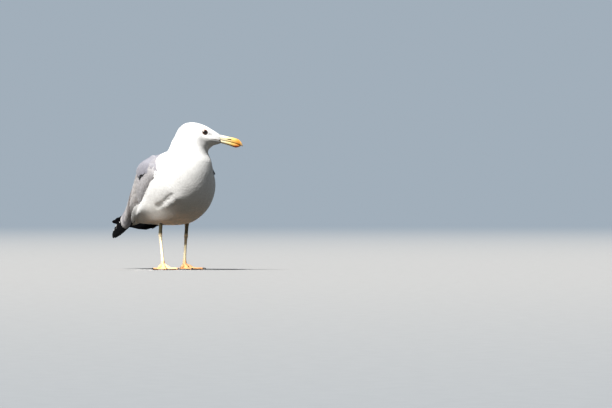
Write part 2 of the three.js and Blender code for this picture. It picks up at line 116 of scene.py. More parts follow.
# The bill: x, ridge or cutting edge above, cutting edge or keel below, half width.
BILL_UPPER = np.array([
    (141.0, 296.4, 286.4, 7.4), (144.6, 297.0, 285.6, 8.2), (156, 295.2, 284.0, 7.5), (167, 293.2, 282.4, 6.6), (178, 291.4, 280.3, 5.6),
    (186, 288.8, 278.4, 4.6), (191.3, 284.2, 276.2, 3.4), (194, 279.6, 274.4, 2.1), (194.9, 276.4, 273.8, 1.1),
])
BILL_LOWER = np.array([
    (142.0, 285.4, 280.4, 6.6), (146.4, 285.0, 278.8, 7.7), (156, 283.5, 276.7, 7.1), (167, 281.9, 274.0, 6.2), (176, 280.1, 271.4, 5.1),
    (181, 279.1, 270.9, 4.4), (186, 277.9, 272.3, 3.2), (189.5, 276.6, 273.9, 1.7), (191.4, 275.6, 274.9, 0.5),
])
EYE = np.array((110.5, 18.5, 301.4))
EYE_RADIUS = 7.8
EYE_OPENING = (5.6, 4.6)  # half width and half height of the lids' opening

# Legs: [x, y] of the foot's joint, then ankle and knee, and the headings of outer, middle and inner toe.
LEGS = {
    "left": {"side": 1, "foot": (-24, 38), "ankle": (-27, 43, 73), "knee": (-14, 40, 122), "toes": (38, -7, -46)},
    "right": {"side": -1, "foot": (0, -27), "ankle": (-11, -28, 76), "knee": (4, -33, 122), "toes": (-54, -16, 30)},
}
TOE_LENGTHS = (46, 50, 40)
TOES = ("outer", "middle", "inner")
TARSUS_RADII = ((3.5, 3.9), (2.9, 3.6), (2.7, 3.4), (3.1, 4.0), (4.1, 5.2))
SHANK_RADII = ((4.1, 5.2), (3.9, 4.8), (3.7, 4.4), (4.6, 5.6), (7.5, 9.0))


def rgb(code):
    """Linear colour from an sRGB hex code."""
    parts = [int(code[i:i + 2], 16) / 255 for i in (0, 2, 4)]
    return np.array([p / 12.92 if p <= 0.04045 else ((p + 0.055) / 1.055) ** 2.4 for p in parts])


WHITE = rgb("f4f3f1")
# white warmed by painted bounce light from below
WHITE_WITH_PAINTED_BOUNCE = rgb("f1eee8")
GREY = rgb("8f8e96")
DARK_GREY = rgb("6c6a70")
BLACK = rgb("060608")
BROWN = rgb("7d7068")
PALE = rgb("d9d5d2")
LEG = rgb("dfd2ae")
FOOT = rgb("e6ae7c")
ORANGE = rgb("e0873c")


# ---------------------------------------------------------------- numbers
def knots(rows, at):
    """Catmull-Rom curve through the rows, at these row numbers."""
    rows = np.asarray(rows, float)
    at = np.atleast_1d(np.asarray(at, float))
    last = len(rows) - 1
    i = np.clip(np.floor(at).astype(int), 0, last - 1)
    t = (at - i)[:, None]
    a, b, c, d = (rows[np.clip(i + k, 0, last)] for k in (-1, 0, 1, 2))
    return b + 0.5 * t * (c - a + t * (2 * a - 5 * b + 4 * c - d + t * (3 * (b - c) + d - a)))


def smooth(low, high, value):
    t = np.clip((value - low) / (high - low), 0, 1)
    return t * t * (3 - 2 * t)


def mix(a, b, t):
    return a + (b - a) * t


def unit(v):
    return v / np.maximum(np.linalg.norm(v, axis=-1, keepdims=True), 1e-9)


def dot(a, b):
    return (a * b).sum(-1)


def turned(p, share):
    """Points turned about the neck's upright axis by a share of the head's turn."""
    c, s = np.cos(HEAD_TURN * share), np.sin(HEAD_TURN * share)
    x, y = p[..., 0] - NECK_AXIS_X, p[..., 1]
    return np.stack([NECK_AXIS_X + x * c - y * s, x * s + y * c, p[..., 2]], -1)


def metres(p):
    return (np.asarray(p, float) + FEET) / 1000


# ---------------------------------------------------------------- meshes
def mesh_object(name, verts, faces):
    """A new object from millimetre points and faces of equal length."""
    verts, faces = np.asarray(verts, float), np.asarray(faces, np.int32)
    mesh = bpy.data.meshes.new(name)
    mesh.vertices.add(len(verts))
    mesh.vertices.foreach_set("co", metres(verts).ravel())
    mesh.loops.add(faces.size)
    mesh.loops.foreach_set("vertex_index", faces.ravel())
    mesh.polygons.add(len(faces))
    mesh.polygons.foreach_set("loop_start", np.arange(len(faces), dtype=np.int32) * faces.shape[1])
    mesh.polygons.foreach_set("use_smooth", np.ones(len(faces), bool))
    mesh.update(calc_edges=True)
    obj = bpy.data.objects.new(name, mesh)
    bpy.context.scene.collection.objects.link(obj)
    return obj


def points_of(obj):
    """The object's points in millimetres from the feet."""
    flat = np.empty(len(obj.data.vertices) * 3)
    obj.data.vertices.foreach_get("co", flat)
    return flat.reshape(-1, 3) * 1000 - FEET


def set_points(obj, points):
    obj.data.vertices.foreach_set("co", metres(points).ravel())
    obj.data.update()


def applied(obj):
    """Replaces the object's mesh by what its modifiers make of it."""
    depsgraph = bpy.context.evaluated_depsgraph_get()
    mesh = bpy.data.meshes.new_from_object(obj.evaluated_get(depsgraph))
    obj.modifiers.clear()
    obj.data = mesh
    mesh.polygons.foreach_set("use_smooth", np.ones(len(mesh.polygons), bool))
    return obj


def joined(name, objects):
    """One object of all these meshes."""
    builder = bmesh.new()
    for obj in objects:
        builder.from_mesh(obj.data)
        bpy.data.objects.remove(obj)
    mesh = bpy.data.meshes.new(name)
    builder.to_mesh(mesh)
    builder.free()
    obj = bpy.data.objects.new(name, mesh)
    bpy.context.scene.collection.objects.link(obj)
    return obj


def paint(obj, colours):
    """Colours the object's points, one linear colour each or one for all."""
    rgba = np.ones((len(obj.data.vertices), 4))
    rgba[:, :3] = colours
    layer = obj.data.color_attributes.new("Tint", "FLOAT_COLOR", "POINT")
    layer.data.foreach_set("color", rgba.ravel())


def loft(name, rings):
    """A closed solid through rings (rows, columns, 3), with a fan over each end."""
    rings = np.asarray(rings, float)
    rows, columns = rings.shape[:2]
    verts = np.concatenate([rings.reshape(-1, 3), rings[:1].mean(1), rings[-1:].mean(1)])
    r, c = np.meshgrid(np.arange(rows - 1), np.arange(columns), indexing="ij")
    a, b = r * columns + c, r * columns + (c + 1) % columns
    sides = np.stack([a, b, b + columns, a, b + columns, a + columns], -1).reshape(-1, 3)
    c = np.arange(columns)
    first = np.stack([np.full(columns, rows * columns), (c + 1) % columns, c], -1)
    end = (rows - 1) * columns
    last = np.stack([np.full(columns, rows * columns + 1), end + c, end + (c + 1) % columns], -1)
    faces = np.concatenate([sides, first, last])
    obj = mesh_object(name, verts, faces)
    if signed_volume(verts, faces) < 0:
        obj.data.flip_normals()
    return obj


def signed_volume(verts, faces):
    a, b, c = (verts[faces[:, k]] for k in range(3))
    return dot(a, np.cross(b, c)).sum()


def tube_rings(points, radii, sides, per_span):
    """Rings along a curve through points, with radii [across, along the leg's swing] at each."""
    spans = len(points) - 1
    at = np.linspace(0, spans, spans * per_span + 1)
    centre = knots(points, at)
    heading = unit(knots(points, np.minimum(at + 0.05, spans)) - knots(points, np.maximum(at - 0.05, 0)))
    upright = np.abs(heading[:, 2:]) > 0.8
    across = np.where(upright, np.array([[0.0, 1.0, 0.0]]), np.cross([0.0, 0.0, 1.0], heading))
    across = unit(across - heading * dot(across, heading)[:, None])
    other = np.cross(heading, across)
    r = knots(radii, at * (len(radii) - 1) / spans)
    angle = np.linspace(0, 2 * math.pi, sides, endpoint=False)[None, :, None]
    ring = across[:, None] * r[:, None, :1] * np.cos(angle) + other[:, None] * r[:, None, 1:] * np.sin(angle)
    return centre[:, None] + ring


# ---------------------------------------------------------------- surfaces that the coat lies on
class Sheet:
    """A smooth surface held as a grid of points, with its own rectangle on the coat's unwrap."""

    def __init__(self, grid, wrap, unwrap, flip=False):
        down = np.gradient(grid, axis=0)
        if wrap:
            across = (np.roll(grid, -1, 1) - np.roll(grid, 1, 1)) / 2
        else:
            across = np.gradient(grid, axis=1)
        normal = unit(np.cross(down, across)) * (-1 if flip else 1)
        self.fields = np.concatenate([grid, normal, down, across], -1)
        self.rows, self.columns = grid.shape[:2]
        self.wrap, self.unwrap = wrap, unwrap

    def at(self, r, c):
        """Point, normal and the two steps of the grid at row r, column c; past an edge it goes on straight."""
        r, c = np.broadcast_arrays(np.asarray(r, float), np.asarray(c, float))
        rr = np.clip(r, 0, self.rows - 1.001)
        cc = np.mod(c, self.columns) if self.wrap else np.clip(c, 0, self.columns - 1.001)
        i, j = np.floor(rr).astype(int), np.floor(cc).astype(int)
        j = np.minimum(j, self.columns - 1)
        k = (j + 1) % self.columns
        fr, fc = (rr - i)[..., None], (cc - j)[..., None]
        f = self.fields
        value = mix(mix(f[i, j], f[i, k], fc), mix(f[i + 1, j], f[i + 1, k], fc), fr)
        p, n, down, across = np.split(value, 4, -1)
        p = p + (r - rr)[..., None] * down
        if not self.wrap:
            p = p + (c - cc)[..., None] * across
        return p, unit(n), down, across

    def moved(self, r, c, move):
        """The row and column that a short move (a vector in millimetres) from r, c leads to."""
        _, _, down, across = self.at(r, c)
        a, b, e = dot(down, down), dot(down, across), dot(across, across)
        f, g = dot(down, move), dot(across, move)
        det = np.maximum(a * e - b * b, 1e-9)
        return r + (f * e - g * b) / det, c + (a * g - b * f) / det

    def place(self, r, c):
        """Where r, c lies on the unwrap."""
        u0, v0, u1, v1 = self.unwrap
        share = np.mod(c, self.columns) / self.columns if self.wrap else c / (self.columns - 1)
        return np.stack([mix(u0, u1, np.clip(share, 0, 1)), mix(v0, v1, np.clip(r / self.rows, 0, 1))], -1)


BODY_ROWS, BODY_COLUMNS = 381, 180
BODY_UNWRAP = (0.01, 0.01, 0.99, 0.60)
WING_UNWRAPS = {"left": (0.01, 0.62, 0.49, 0.98), "right": (0.51, 0.62, 0.99, 0.98)}


def bump(p, x, z, radius):
    """A soft round mark on both sides of the head, looking straight ahead."""
    return np.exp(-((p[..., 0] - x) ** 2 + (p[..., 2] - z) ** 2) / radius ** 2) * smooth(2, 8, np.abs(p[..., 1]))


def straight_body():
    """Rings of the body's outline looking straight ahead, and each ring's share of the head's turn."""
    v = knots(BODY, np.linspace(0, len(BODY) - 1, BODY_ROWS))[:, None, :]
    angle = np.linspace(0, 2 * math.pi, BODY_COLUMNS, endpoint=False)[None, :]
    c, s = np.cos(angle), np.sin(angle)
    square = np.where(s >= 0, v[..., 6], v[..., 7])
    across = np.sign(c) * np.abs(c) ** (2 / square)
    along = np.abs(s) ** (2 / square)
    top, low = v[..., 0:2], v[..., 2:4]
    centre = low + (top - low) * v[..., 5:6]
    reach = np.where(s[..., None] >= 0, top - centre, low - centre)
    xz = centre + reach * along[..., None]
    p = np.stack([xz[..., 0], across * v[..., 4], xz[..., 1]], -1)
    face = 1.2 * bump(p, 112, 309, 8) + 0.9 * bump(p, 99, 292, 11) - 1.7 * bump(p, 110.5, 300.6, 8)
    face += 0.8 * bump(p, 126, 285, 8) - 1.0 * bump(p, 126, 297, 8)
    p[..., 1] += np.sign(p[..., 1]) * face
    return parted_flank(p), v[..., 8]


# Lines on the flanks: where the right flank's plumage parts, the lobe below that stands out, and the fold of
# plumage over the wing's lower edge.
FLANK_PARTING = ((44, -66, 137), (72, -60, 149), (93, -53, 162))
FLANK_LOBE = ((73, -57, 140), (91, -50, 148), (104, -43, 156))
FLANK_FOLD = ((-4, -54, 144), (-52, -62, 121), (-98, -47, 108))


def near_line(p, line, radius):
    """How near points lie to a line of three points, 1 on it and falling softly to 0."""
    line = knots(np.array(line, float), np.linspace(0, 2, 9))
    gap = np.min([np.linalg.norm(p - q, axis=-1) for q in line], axis=0)
    return np.exp(-(gap / radius) ** 2)


def on_surface(p, line):
    """The line's points moved to the nearest of the surface's points."""
    flat = p.reshape(-1, 3)
    return [flat[np.linalg.norm(flat - q, axis=-1).argmin()] for q in line]


def parted_flank(p):
    """The right flank's plumage parts above a lobe, and both flanks fold over the wings' lower edges."""
    inwards = unit(np.array((20.0, 0.0, 185.0)) - p)
    depth = 2.2 * near_line(p, on_surface(p, FLANK_PARTING), 5.5) - 1.2 * near_line(p, on_surface(p, FLANK_LOBE), 10.0)
    out = np.sign(p[..., 1:2]) * (0.0, 1.0, 0.0)
    right = p * (1, 0, 1) - (0, 1, 0) * np.abs(p[..., 1:2])
    return p + inwards * depth[..., None] + out * 5.0 * near_line(right, FLANK_FOLD, 15.0)[..., None]


STRAIGHT, TURN_SHARE = straight_body()
BODY_SHEET = Sheet(turned(STRAIGHT, TURN_SHARE), True, BODY_UNWRAP)
if dot(BODY_SHEET.fields[150, 0, 3:6], np.array([0, 1.0, 0])) < 0:
    BODY_SHEET.fields[..., 3:6] *= -1
STRAIGHT_SHEET = Sheet(STRAIGHT, True, BODY_UNWRAP)
COAT_AT = knots(COAT, np.linspace(0, len(COAT) - 1, BODY_ROWS))


WING_COLUMNS = 41
WING_STEP = 2.0  # between rows, in x


def wing_sheet(side):
    """The outer face of a folded wing: rows go back from the wrist, columns up from the lower edge."""
    v = knots(WING, np.linspace(0, len(WING) - 1, 400))
    xs = np.arange(WING[0, 0], WING[-1, 0] - 1e-6, -WING_STEP)
    v = np.stack([np.interp(-xs, -v[:, 0], v[:, k]) for k in range(v.shape[1])], -1)
    pairs = v[:, 1:].reshape(len(xs), 5, 2)
    face = np.stack([knots(row, np.linspace(0, 4, WING_COLUMNS)) for row in pairs])
    rear = np.clip((WING_REAR_X - xs) / (WING_REAR_X - WING[-1, 0]), 0, None) ** 1.3
    x = np.repeat((xs - WING_LONGER[side] * rear ** 2)[:, None], WING_COLUMNS, 1)
    sign = 1 if side == "left" else -1
    sag = np.exp(-((xs + 184) / 48) ** 2)[:, None] * np.linspace(1, 0, WING_COLUMNS) ** 2
    z = face[..., 1] + WING_LIFT[side] * rear[:, None] - WING_SAG[side] * sag
    grid = np.stack([x, face[..., 0] * sign, z], -1)
    sheet = Sheet(grid, False, WING_UNWRAPS[side])
    if sheet.fields[40, 15, 4] * sign < 0:
        sheet.fields[..., 3:6] *= -1
    return sheet


WINGS = {side: wing_sheet(side) for side in ("left", "right")}


# ---------------------------------------------------------------- vanes
ROW_FACES = ((0, 1, 4), (0, 4, 3), (1, 2, 5), (1, 5, 4), (0, 5, 2), (0, 3, 5))
PATCH = 0.003  # of a feather on the coat's unwrap
GOLDEN = 0.618  # of a spacing, by which each ring of feathers is turned from the last

# Outlines of feathers: share of the length, share of the half width, and how far the edges run ahead of the
# middle towards the tip, in half widths.
DOWNY = np.array([
    (0, 0.5, 0), (0.35, 0.85, 0.3), (0.65, 1.0, 0.35), (0.84, 0.84, 0.15), (0.95, 0.46, -0.2), (1, 0.1, -0.5),
])
BROAD = np.array([
    (0, 0.35, 0), (0.2, 0.75, 0.1), (0.45, 0.95, 0.15), (0.7, 1.0, 0.15), (0.87, 0.82, 0.05), (0.96, 0.5, -0.15),
    (1, 0.16, -0.25),
])
QUILL = np.array([
    (0, 0.4, 0), (0.12, 0.7, 0.1), (0.28, 0.9, 0.1), (0.45, 1.0, 0.1), (0.6, 1.0, 0.1), (0.74, 0.97, 0.1),
    (0.85, 0.88, 0.05), (0.93, 0.68, -0.05), (0.975, 0.42, -0.15), (1, 0.14, -0.2),
])

BLUNT = np.array([
    (0, 0.4, 0), (0.12, 0.7, 0.1), (0.28, 0.9, 0.1), (0.45, 1.0, 0.1), (0.62, 1.0, 0.1), (0.76, 0.98, 0.1),
    (0.86, 0.93, 0.05), (0.92, 0.84, 0), (0.955, 0.72, -0.05), (0.98, 0.55, -0.1), (0.993, 0.36, -0.15),
    (1, 0.14, -0.2),
])


class Coat:
    """Collects vanes, each a thin closed solid, and joins them into one piece."""

    def __init__(self):
        self.verts, self.faces, self.sharp, self.tints, self.bakes, self.vanes = [], [], [], [], [], []
        self.count = 0

    def add(self, points, tints, roots, half, length):
        """points and tints are (feathers, rows, 3 across, 3); roots is each one's place on the unwrap."""
        n, k = points.shape[:2]
        rows = np.arange(k - 1)[:, None, None] * 3
        pattern = (np.array(ROW_FACES)[None] + rows).reshape(-1, 3)
        end = 3 * (k - 1)
        pattern = np.concatenate([pattern, [(0, 2, 1), (end, end + 1, end + 2)]])
        starts = self.count + np.arange(n)[:, None, None] * 3 * k
        self.faces.append((pattern[None] + starts).reshape(-1, 3))
        self.verts.append(points.reshape(-1, 3))
        self.tints.append(np.broadcast_to(tints, points.shape).reshape(-1, 3))
        t = np.linspace(0, 1, k)[None, :, None]
        side = np.array([-1.0, 0.0, 1.0])[None, None, :]
        across = np.broadcast_to(side, (n, k, 3))
        along = np.broadcast_to(t, (n, k, 3))
        bake = roots[:, None, None] + PATCH * np.stack([across / 2, along - 0.5], -1)
        self.bakes.append(bake.reshape(-1, 2))
        vane = np.stack([across * half[:, None, None], along * length[:, None, None]], -1) / 1000
        self.vanes.append(vane.reshape(-1, 2))
        edge = np.zeros((n, k, 3), int)
        edge[..., 0], edge[..., 2] = 1, 2
        edge[:, 0, 1], edge[:, -1, 1] = 3, 3
        self.sharp.append(edge.reshape(-1))
        self.count += n * k * 3

    def build(self, name, look, slot, *nodes):
        faces = np.concatenate(self.faces)
        obj = mesh_object(name, np.concatenate(self.verts), faces)
        mesh = obj.data
        corners = faces.ravel()
        for layer_name, values in (("OFBake", self.bakes), ("Vane", self.vanes)):
            layer = mesh.uv_layers.new(name=layer_name)
            layer.data.foreach_set("uv", np.concatenate(values)[corners].astype(np.float32).ravel())
        paint(obj, np.concatenate(self.tints))
        ends = np.empty(len(mesh.edges) * 2, np.int32)
        mesh.edges.foreach_get("vertices", ends)
        kind = np.concatenate(self.sharp)[ends.reshape(-1, 2)]
        rim = (kind[:, 0] > 0) & (kind[:, 1] > 0) & ((kind[:, 0] == kind[:, 1]) | (kind.max(1) == 3))
        mesh.attributes.new("sharp_edge", "BOOLEAN", "EDGE").data.foreach_set("value", rim)
        mesh.materials.append(look)
        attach(obj, "root")
        if nodes:
            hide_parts(*nodes)
        print(name, len(faces))
        return obj


def lay(coat, sheet, r, c, half, height, shape, tints, camber=0.25, roll=0.0, length=None, ragged=0.0):
    """Adds vanes whose middle lines run over the sheet.

    r and c are (feathers, rows) with the rows at the shape's shares of the length; half is each one's half
    width; height is (feathers, rows) over the sheet; roll raises the right edge and lowers the left.
    """
    p, n, _, _ = sheet.at(r, c)
    t = unit(np.gradient(p, axis=1))
    right = unit(np.cross(t, n))
    width = half[:, None] * shape[None, :, 1]
    ahead = half[:, None] * shape[None, :, 2]
    middle = p + n * (height + camber * width / half[:, None])[..., None]
    edges = []
    for sign in (-1, 1):
        w = width * (1 + ragged * dice.uniform(-1, 1, width.shape))
        move = right * (sign * w)[..., None] + t * ahead[..., None]
        edge_r, edge_c = sheet.moved(r, c, move)
        if not sheet.wrap:
            edge_c = np.clip(edge_c, 0, sheet.columns - 1)
        q, m, _, _ = sheet.at(edge_r, edge_c)
        edges.append(q + m * (height + sign * roll)[..., None])
    points = np.stack([edges[0], middle, edges[1]], 2)
    if length is None:
        length = np.linalg.norm(np.diff(p, axis=1), axis=-1).sum(1)
    coat.add(points, tints, sheet.place(r[:, 0], c[:, 0]), half, length)
    return points


# ---------------------------------------------------------------- markings
def wing_low_z(x):
    return np.interp(-x, -WING[:, 0], WING[:, 2])


def back_share(p):
    """1 on the grey mantle, 0 on the white of neck, breast, flank, rump and tail."""
    front = 24 + (256 - p[..., 2]) * 0.42 + 20 * smooth(234, 214, p[..., 2])
    mantle = smooth(4, -4, p[..., 0] - front)
    upper = smooth(6, 16, p[..., 2] - wing_low_z(p[..., 0]))
    rear = smooth(-150, -135, p[..., 0])
    return mantle * upper * rear


def plumage(p):
    """Colour of the trunk, neck and head at points looking straight ahead, with painted warm bounce light low down."""
    colour = np.broadcast_to(WHITE, p.shape).copy()
    # painted warm bounce light from below, strongest low on the belly
    low = smooth(190, 110, p[..., 2])[..., None] * 0.35
    colour = mix(colour, WHITE_WITH_PAINTED_BOUNCE, low)
    colour = mix(colour, GREY, back_share(p)[..., None])
    lores = 0.55 * bump(p, 121, 299, 3.0) + 0.35 * bump(p, 126, 297.5, 3.5) + 0.3 * bump(p, 116.5, 296, 2.6)
    ear = 0.16 * bump(p, 103, 288, 7)
    smudge = np.clip(lores + ear, 0, 0.8)[..., None]
    return mix(colour, DARK_GREY, smudge)


# ---------------------------------------------------------------- materials
def new_material(name):
    """A material with its node tree, its Principled shader and a maker of nodes."""
    look = bpy.data.materials.new(name)
    look.use_nodes = True
    tree = look.node_tree
    shader = tree.nodes["Principled BSDF"]

    def node(kind, **values):
        made = tree.nodes.new(kind)
        for key, value in values.items():
            setattr(made, key, value)
        return made

    return look, tree.links.new, shader, node


def noise_of(link, node, scale, detail=3.0, stretch=None):
    """A noise texture over the object's own coordinates, in units of metres."""
    place = node("ShaderNodeTexCoord")
    noise = node("ShaderNodeTexNoise")
    noise.inputs["Scale"].default_value = scale
    noise.inputs["Detail"].default_value = detail
    if stretch:
        mapping = node("ShaderNodeMapping")
        mapping.inputs["Scale"].default_value = stretch
        link(place.outputs["Object"], mapping.inputs["Vector"])
        link(mapping.outputs["Vector"], noise.inputs["Vector"])
    else:
        link(place.outputs["Object"], noise.inputs["Vector"])
    return noise.outputs["Fac"]


def ramp(link, node, source, stops):
    """A colour ramp; stops are (position, grey value)."""
    made = node("ShaderNodeValToRGB")
    elements = made.color_ramp.elements
    elements[0].position, elements[1].position = stops[0][0], stops[-1][0]
    for position, _ in stops[1:-1]:
        elements.new(position)
    for element, (_, value) in zip(elements, stops):
        element.color = (value, value, value, 1)
    link(source, made.inputs["Fac"])
    return made.outputs["Color"]


def tinted(link, shader, node, *shades):
    """Base colour: the painted tint times each of the shades."""
    colour = node("ShaderNodeAttribute", attribute_name="Tint").outputs["Color"]
    for shade in shades:
        times = node("ShaderNodeMix", data_type="RGBA", blend_type="MULTIPLY")
        times.inputs[0].default_value = 1.0
        link(colour, times.inputs[6])
        link(shade, times.inputs[7])
        colour = times.outputs[2]
    link(colour, shader.inputs["Base Color"])


def math_node(link, node, operation, a, b=None):
    made = node("ShaderNodeMath", operation=operation)
    for socket, value in zip(made.inputs, (a, b)):
        if value is None:
            continue
        if isinstance(value, (int, float)):
            socket.default_value = value
        else:
            link(value, socket)
    return made.outputs[0]


def feather_material(name, barb, shaft, roughness, sheen, depth):
    """Barbs run slantwise from the shaft to the edge; barb is their spacing in metres."""
    look, link, shader, node = new_material(name)
    vane = node("ShaderNodeUVMap", uv_map="Vane").outputs["UV"]
    parts = node("ShaderNodeSeparateXYZ")
    link(vane, parts.inputs["Vector"])
    off = math_node(link, node, "ABSOLUTE", parts.outputs["X"])
    run = math_node(link, node, "SUBTRACT", parts.outputs["Y"], off)
    wobble = math_node(link, node, "MULTIPLY", noise_of(link, node, 260, 2.0), barb * 5)
    run = math_node(link, node, "ADD", run, wobble)
    lines = math_node(link, node, "SINE", math_node(link, node, "MULTIPLY", run, 2 * math.pi / barb))
    lines = math_node(link, node, "MULTIPLY_ADD", lines, 0.5)
    lines.node.inputs[2].default_value = 0.5
    shaft_line = math_node(link, node, "SUBTRACT", 1.0, math_node(link, node, "DIVIDE", off, shaft))
    shaft_line = math_node(link, node, "MAXIMUM", shaft_line, 0.0)
    barbs = ramp(link, node, lines, ((0.0, 0.9), (1.0, 1.0)))
    mottle = ramp(link, node, noise_of(link, node, 420, 4.0), ((0.25, 0.9), (0.7, 1.0)))
    tinted(link, shader, node, barbs, mottle)
    height = math_node(link, node, "ADD", lines, math_node(link, node, "MULTIPLY", shaft_line, 2.0))
    relief = node("ShaderNodeBump")
    relief.inputs["Strength"].default_value = 0.35
    relief.inputs["Distance"].default_value = depth
    link(height, relief.inputs["Height"])
    link(relief.outputs["Normal"], shader.inputs["Normal"])
    rough = ramp(link, node, noise_of(link, node, 900, 2.0), ((0.2, roughness - 0.08), (0.8, roughness + 0.08)))
    link(rough, shader.inputs["Roughness"])
    shader.inputs["Sheen Weight"].default_value = sheen
    shader.inputs["Sheen Roughness"].default_value = 0.4
    shader.inputs["Specular IOR Level"].default_value = 0.3
    return look


def skin_material():
    """Scaly on the legs, finely pimpled under the feathers."""
    look, link, shader, node = new_material("skin")
    place = node("ShaderNodeTexCoord").outputs["Object"]
    scales = node("ShaderNodeTexVoronoi", feature="DISTANCE_TO_EDGE")
    scales.inputs["Scale"].default_value = 620
    mapping = node("ShaderNodeMapping")
    mapping.inputs["Scale"].default_value = (0.75, 0.75, 1.0)
    link(place, mapping.inputs["Vector"])
    link(mapping.outputs["Vector"], scales.inputs["Vector"])
    edges = ramp(link, node, scales.outputs["Distance"], ((0.0, 0.0), (0.12, 1.0)))
    mottle = ramp(link, node, noise_of(link, node, 300, 4.0), ((0.3, 0.82), (0.7, 1.0)))
    shade = ramp(link, node, scales.outputs["Distance"], ((0.0, 0.9), (0.08, 1.0)))
    tinted(link, shader, node, shade, mottle)
    relief = node("ShaderNodeBump")
    relief.inputs["Strength"].default_value = 0.45
    relief.inputs["Distance"].default_value = 0.0003
    link(edges, relief.inputs["Height"])
    link(relief.outputs["Normal"], shader.inputs["Normal"])
    rough = ramp(link, node, mottle, ((0.8, 0.55), (1.0, 0.4)))
    link(rough, shader.inputs["Roughness"])
    shader.inputs["Specular IOR Level"].default_value = 0.4
    return look


def horn_material(name, roughness, coat, streak, contrast=0.86):
    """Smooth horn with faint growth lines; streak stretches them."""
    look, link, shader, node = new_material(name)
    lines = noise_of(link, node, 160, 5.0, streak)
    clouds = noise_of(link, node, 90, 3.0)
    tinted(
        link, shader, node, ramp(link, node, lines, ((0.3, contrast), (0.65, 1.0))),
        ramp(link, node, clouds, ((0.3, 0.93), (0.7, 1.0))),
    )
    relief = node("ShaderNodeBump")
    relief.inputs["Strength"].default_value = 0.3
    relief.inputs["Distance"].default_value = 0.0003
    link(lines, relief.inputs["Height"])
    link(relief.outputs["Normal"], shader.inputs["Normal"])
    rough = ramp(link, node, lines, ((0.3, roughness + 0.08), (0.7, roughness)))
    link(rough, shader.inputs["Roughness"])
    shader.inputs["Coat Weight"].default_value = coat
    shader.inputs["Coat Roughness"].default_value = 0.15
    return look


SOFT = feather_material("soft_feathers", 0.0007, 0.0003, 0.85, 0.25, 0.00012)
FIRM = feather_material("firm_feathers", 0.0011, 0.0005, 0.66, 0.1, 0.0003)
DARK = feather_material("dark_feathers", 0.0011, 0.0005, 0.7, 0.0, 0.0003)
DARK.node_tree.nodes["Principled BSDF"].inputs["Specular IOR Level"].default_value = 0.06
SKIN = skin_material()
BILL_HORN = horn_material("bill_horn", 0.36, 0.25, (1.0, 1.0, 5.0), 0.91)
CLAW_HORN = horn_material("claw_horn", 0.3, 0.3, (1.0, 1.0, 1.0))
EYE_GLOSS = horn_material("eye_gloss", 0.14, 0.35, (1.0, 1.0, 1.0), 0.7)
LID_SKIN = horn_material("lid_skin", 0.5, 0.05, (1.0, 1.0, 1.0))


# ---------------------------------------------------------------- the eye's place
def nearest_on(sheet, target):
    """Row and column of the sheet's point nearest to this one."""
    gap = np.linalg.norm(sheet.fields[..., :3] - target, axis=-1)
    return np.unravel_index(gap.argmin(), gap.shape)


class Eye:
    """The ball's centre, and its axes outwards, forwards and upwards, on the turned head."""

    def __init__(self, sign):
        self.centre = turned(np.array((EYE[0], sign * EYE[1], EYE[2])), 1.0)
        r, c = nearest_on(BODY_SHEET, self.centre)
        out = BODY_SHEET.fields[r, c, 3:6]
        ahead = turned(np.array((NECK_AXIS_X + 1.0, 0.0, 0.0)), 1.0) - np.array((NECK_AXIS_X, 0.0, 0.0))
        self.out = unit(out)
        self.ahead = unit(ahead - self.out * dot(ahead, self.out))
        self.up = np.cross(self.ahead, self.out) * sign * 1.0
        if self.up[2] < 0:
            self.up = -self.up

    def flat(self, p):
        """Points as (forwards, up, out) from the ball's centre."""
        d = p - self.centre
        return dot(d, self.ahead), dot(d, self.up), dot(d, self.out)


EYES = {"left": Eye(1), "right": Eye(-1)}
LID_REACH = 0.75  # how far the bare ring reaches past the opening


def eye_gap(p):
    """Distance of points from the nearer bare eye ring, in shares of its radius, and that eye's axes."""
    best = np.full(p.shape[:-1], 99.0)
    for eye in EYES.values():
        x, y, out = eye.flat(p)
        share = np.hypot(x / (EYE_OPENING[0] + LID_REACH), y / (EYE_OPENING[1] + LID_REACH))
        best = np.where(out > -4, np.minimum(best, share), best)
    return best


# ---------------------------------------------------------------- body feathers
def body_roots():
    """Places for feathers in staggered rings from the bill back, as rows and columns."""
    row, rows, columns, turn = BODY_ROWS - 3.0, [], [], 0.0
    down = np.linalg.norm(BODY_SHEET.fields[..., 6:9], axis=-1)
    across = np.linalg.norm(BODY_SHEET.fields[..., 9:12], axis=-1)
    while row > 4:
        i = int(row)
        spacing = COAT_AT[i, 2]
        widest = down[i].max()
        run = np.concatenate([[0], np.cumsum(across[i])])
        count = max(8, int(run[-1] / spacing))
        turn += GOLDEN
        places = (np.arange(count) + turn + dice.uniform(-0.2, 0.2, count)) / count
        c = np.interp(np.mod(places, 1) * run[-1], run, np.arange(BODY_COLUMNS + 1))
        share = down[i, c.astype(int) % BODY_COLUMNS] / widest
        keep = dice.uniform(0, 1, count) < np.maximum(share * 1.5, 0.55)
        rows.append(np.full(keep.sum(), row) + dice.uniform(-0.25, 0.25, keep.sum()) * spacing / widest)
        columns.append(c[keep])
        row -= spacing / widest
    return np.concatenate(rows), np.concatenate(columns)


def wing_cover(p, n):
    """Whether a folded wing lies over each of these points."""
    hidden = np.zeros(len(p), bool)
    for sheet in WINGS.values():
        grid = sheet.fields[::3, ::4, :3]
        rows, columns = grid.shape[:2]
        r, c = np.meshgrid(np.arange(rows - 1), np.arange(columns - 1), indexing="ij")
        a = (r * columns + c).ravel()
        quads = np.stack([a, a + 1, a + columns + 1, a + columns], -1)
        tree = BVHTree.FromPolygons([tuple(v) for v in grid.reshape(-1, 3)], [tuple(q) for q in quads])
        for i in range(len(p)):
            if not hidden[i] and abs(n[i, 1]) > 0.05:
                start = Vector(p[i] - 6 * n[i])
                hidden[i] = tree.ray_cast(start, Vector(n[i]), 40)[0] is not None
    return hidden


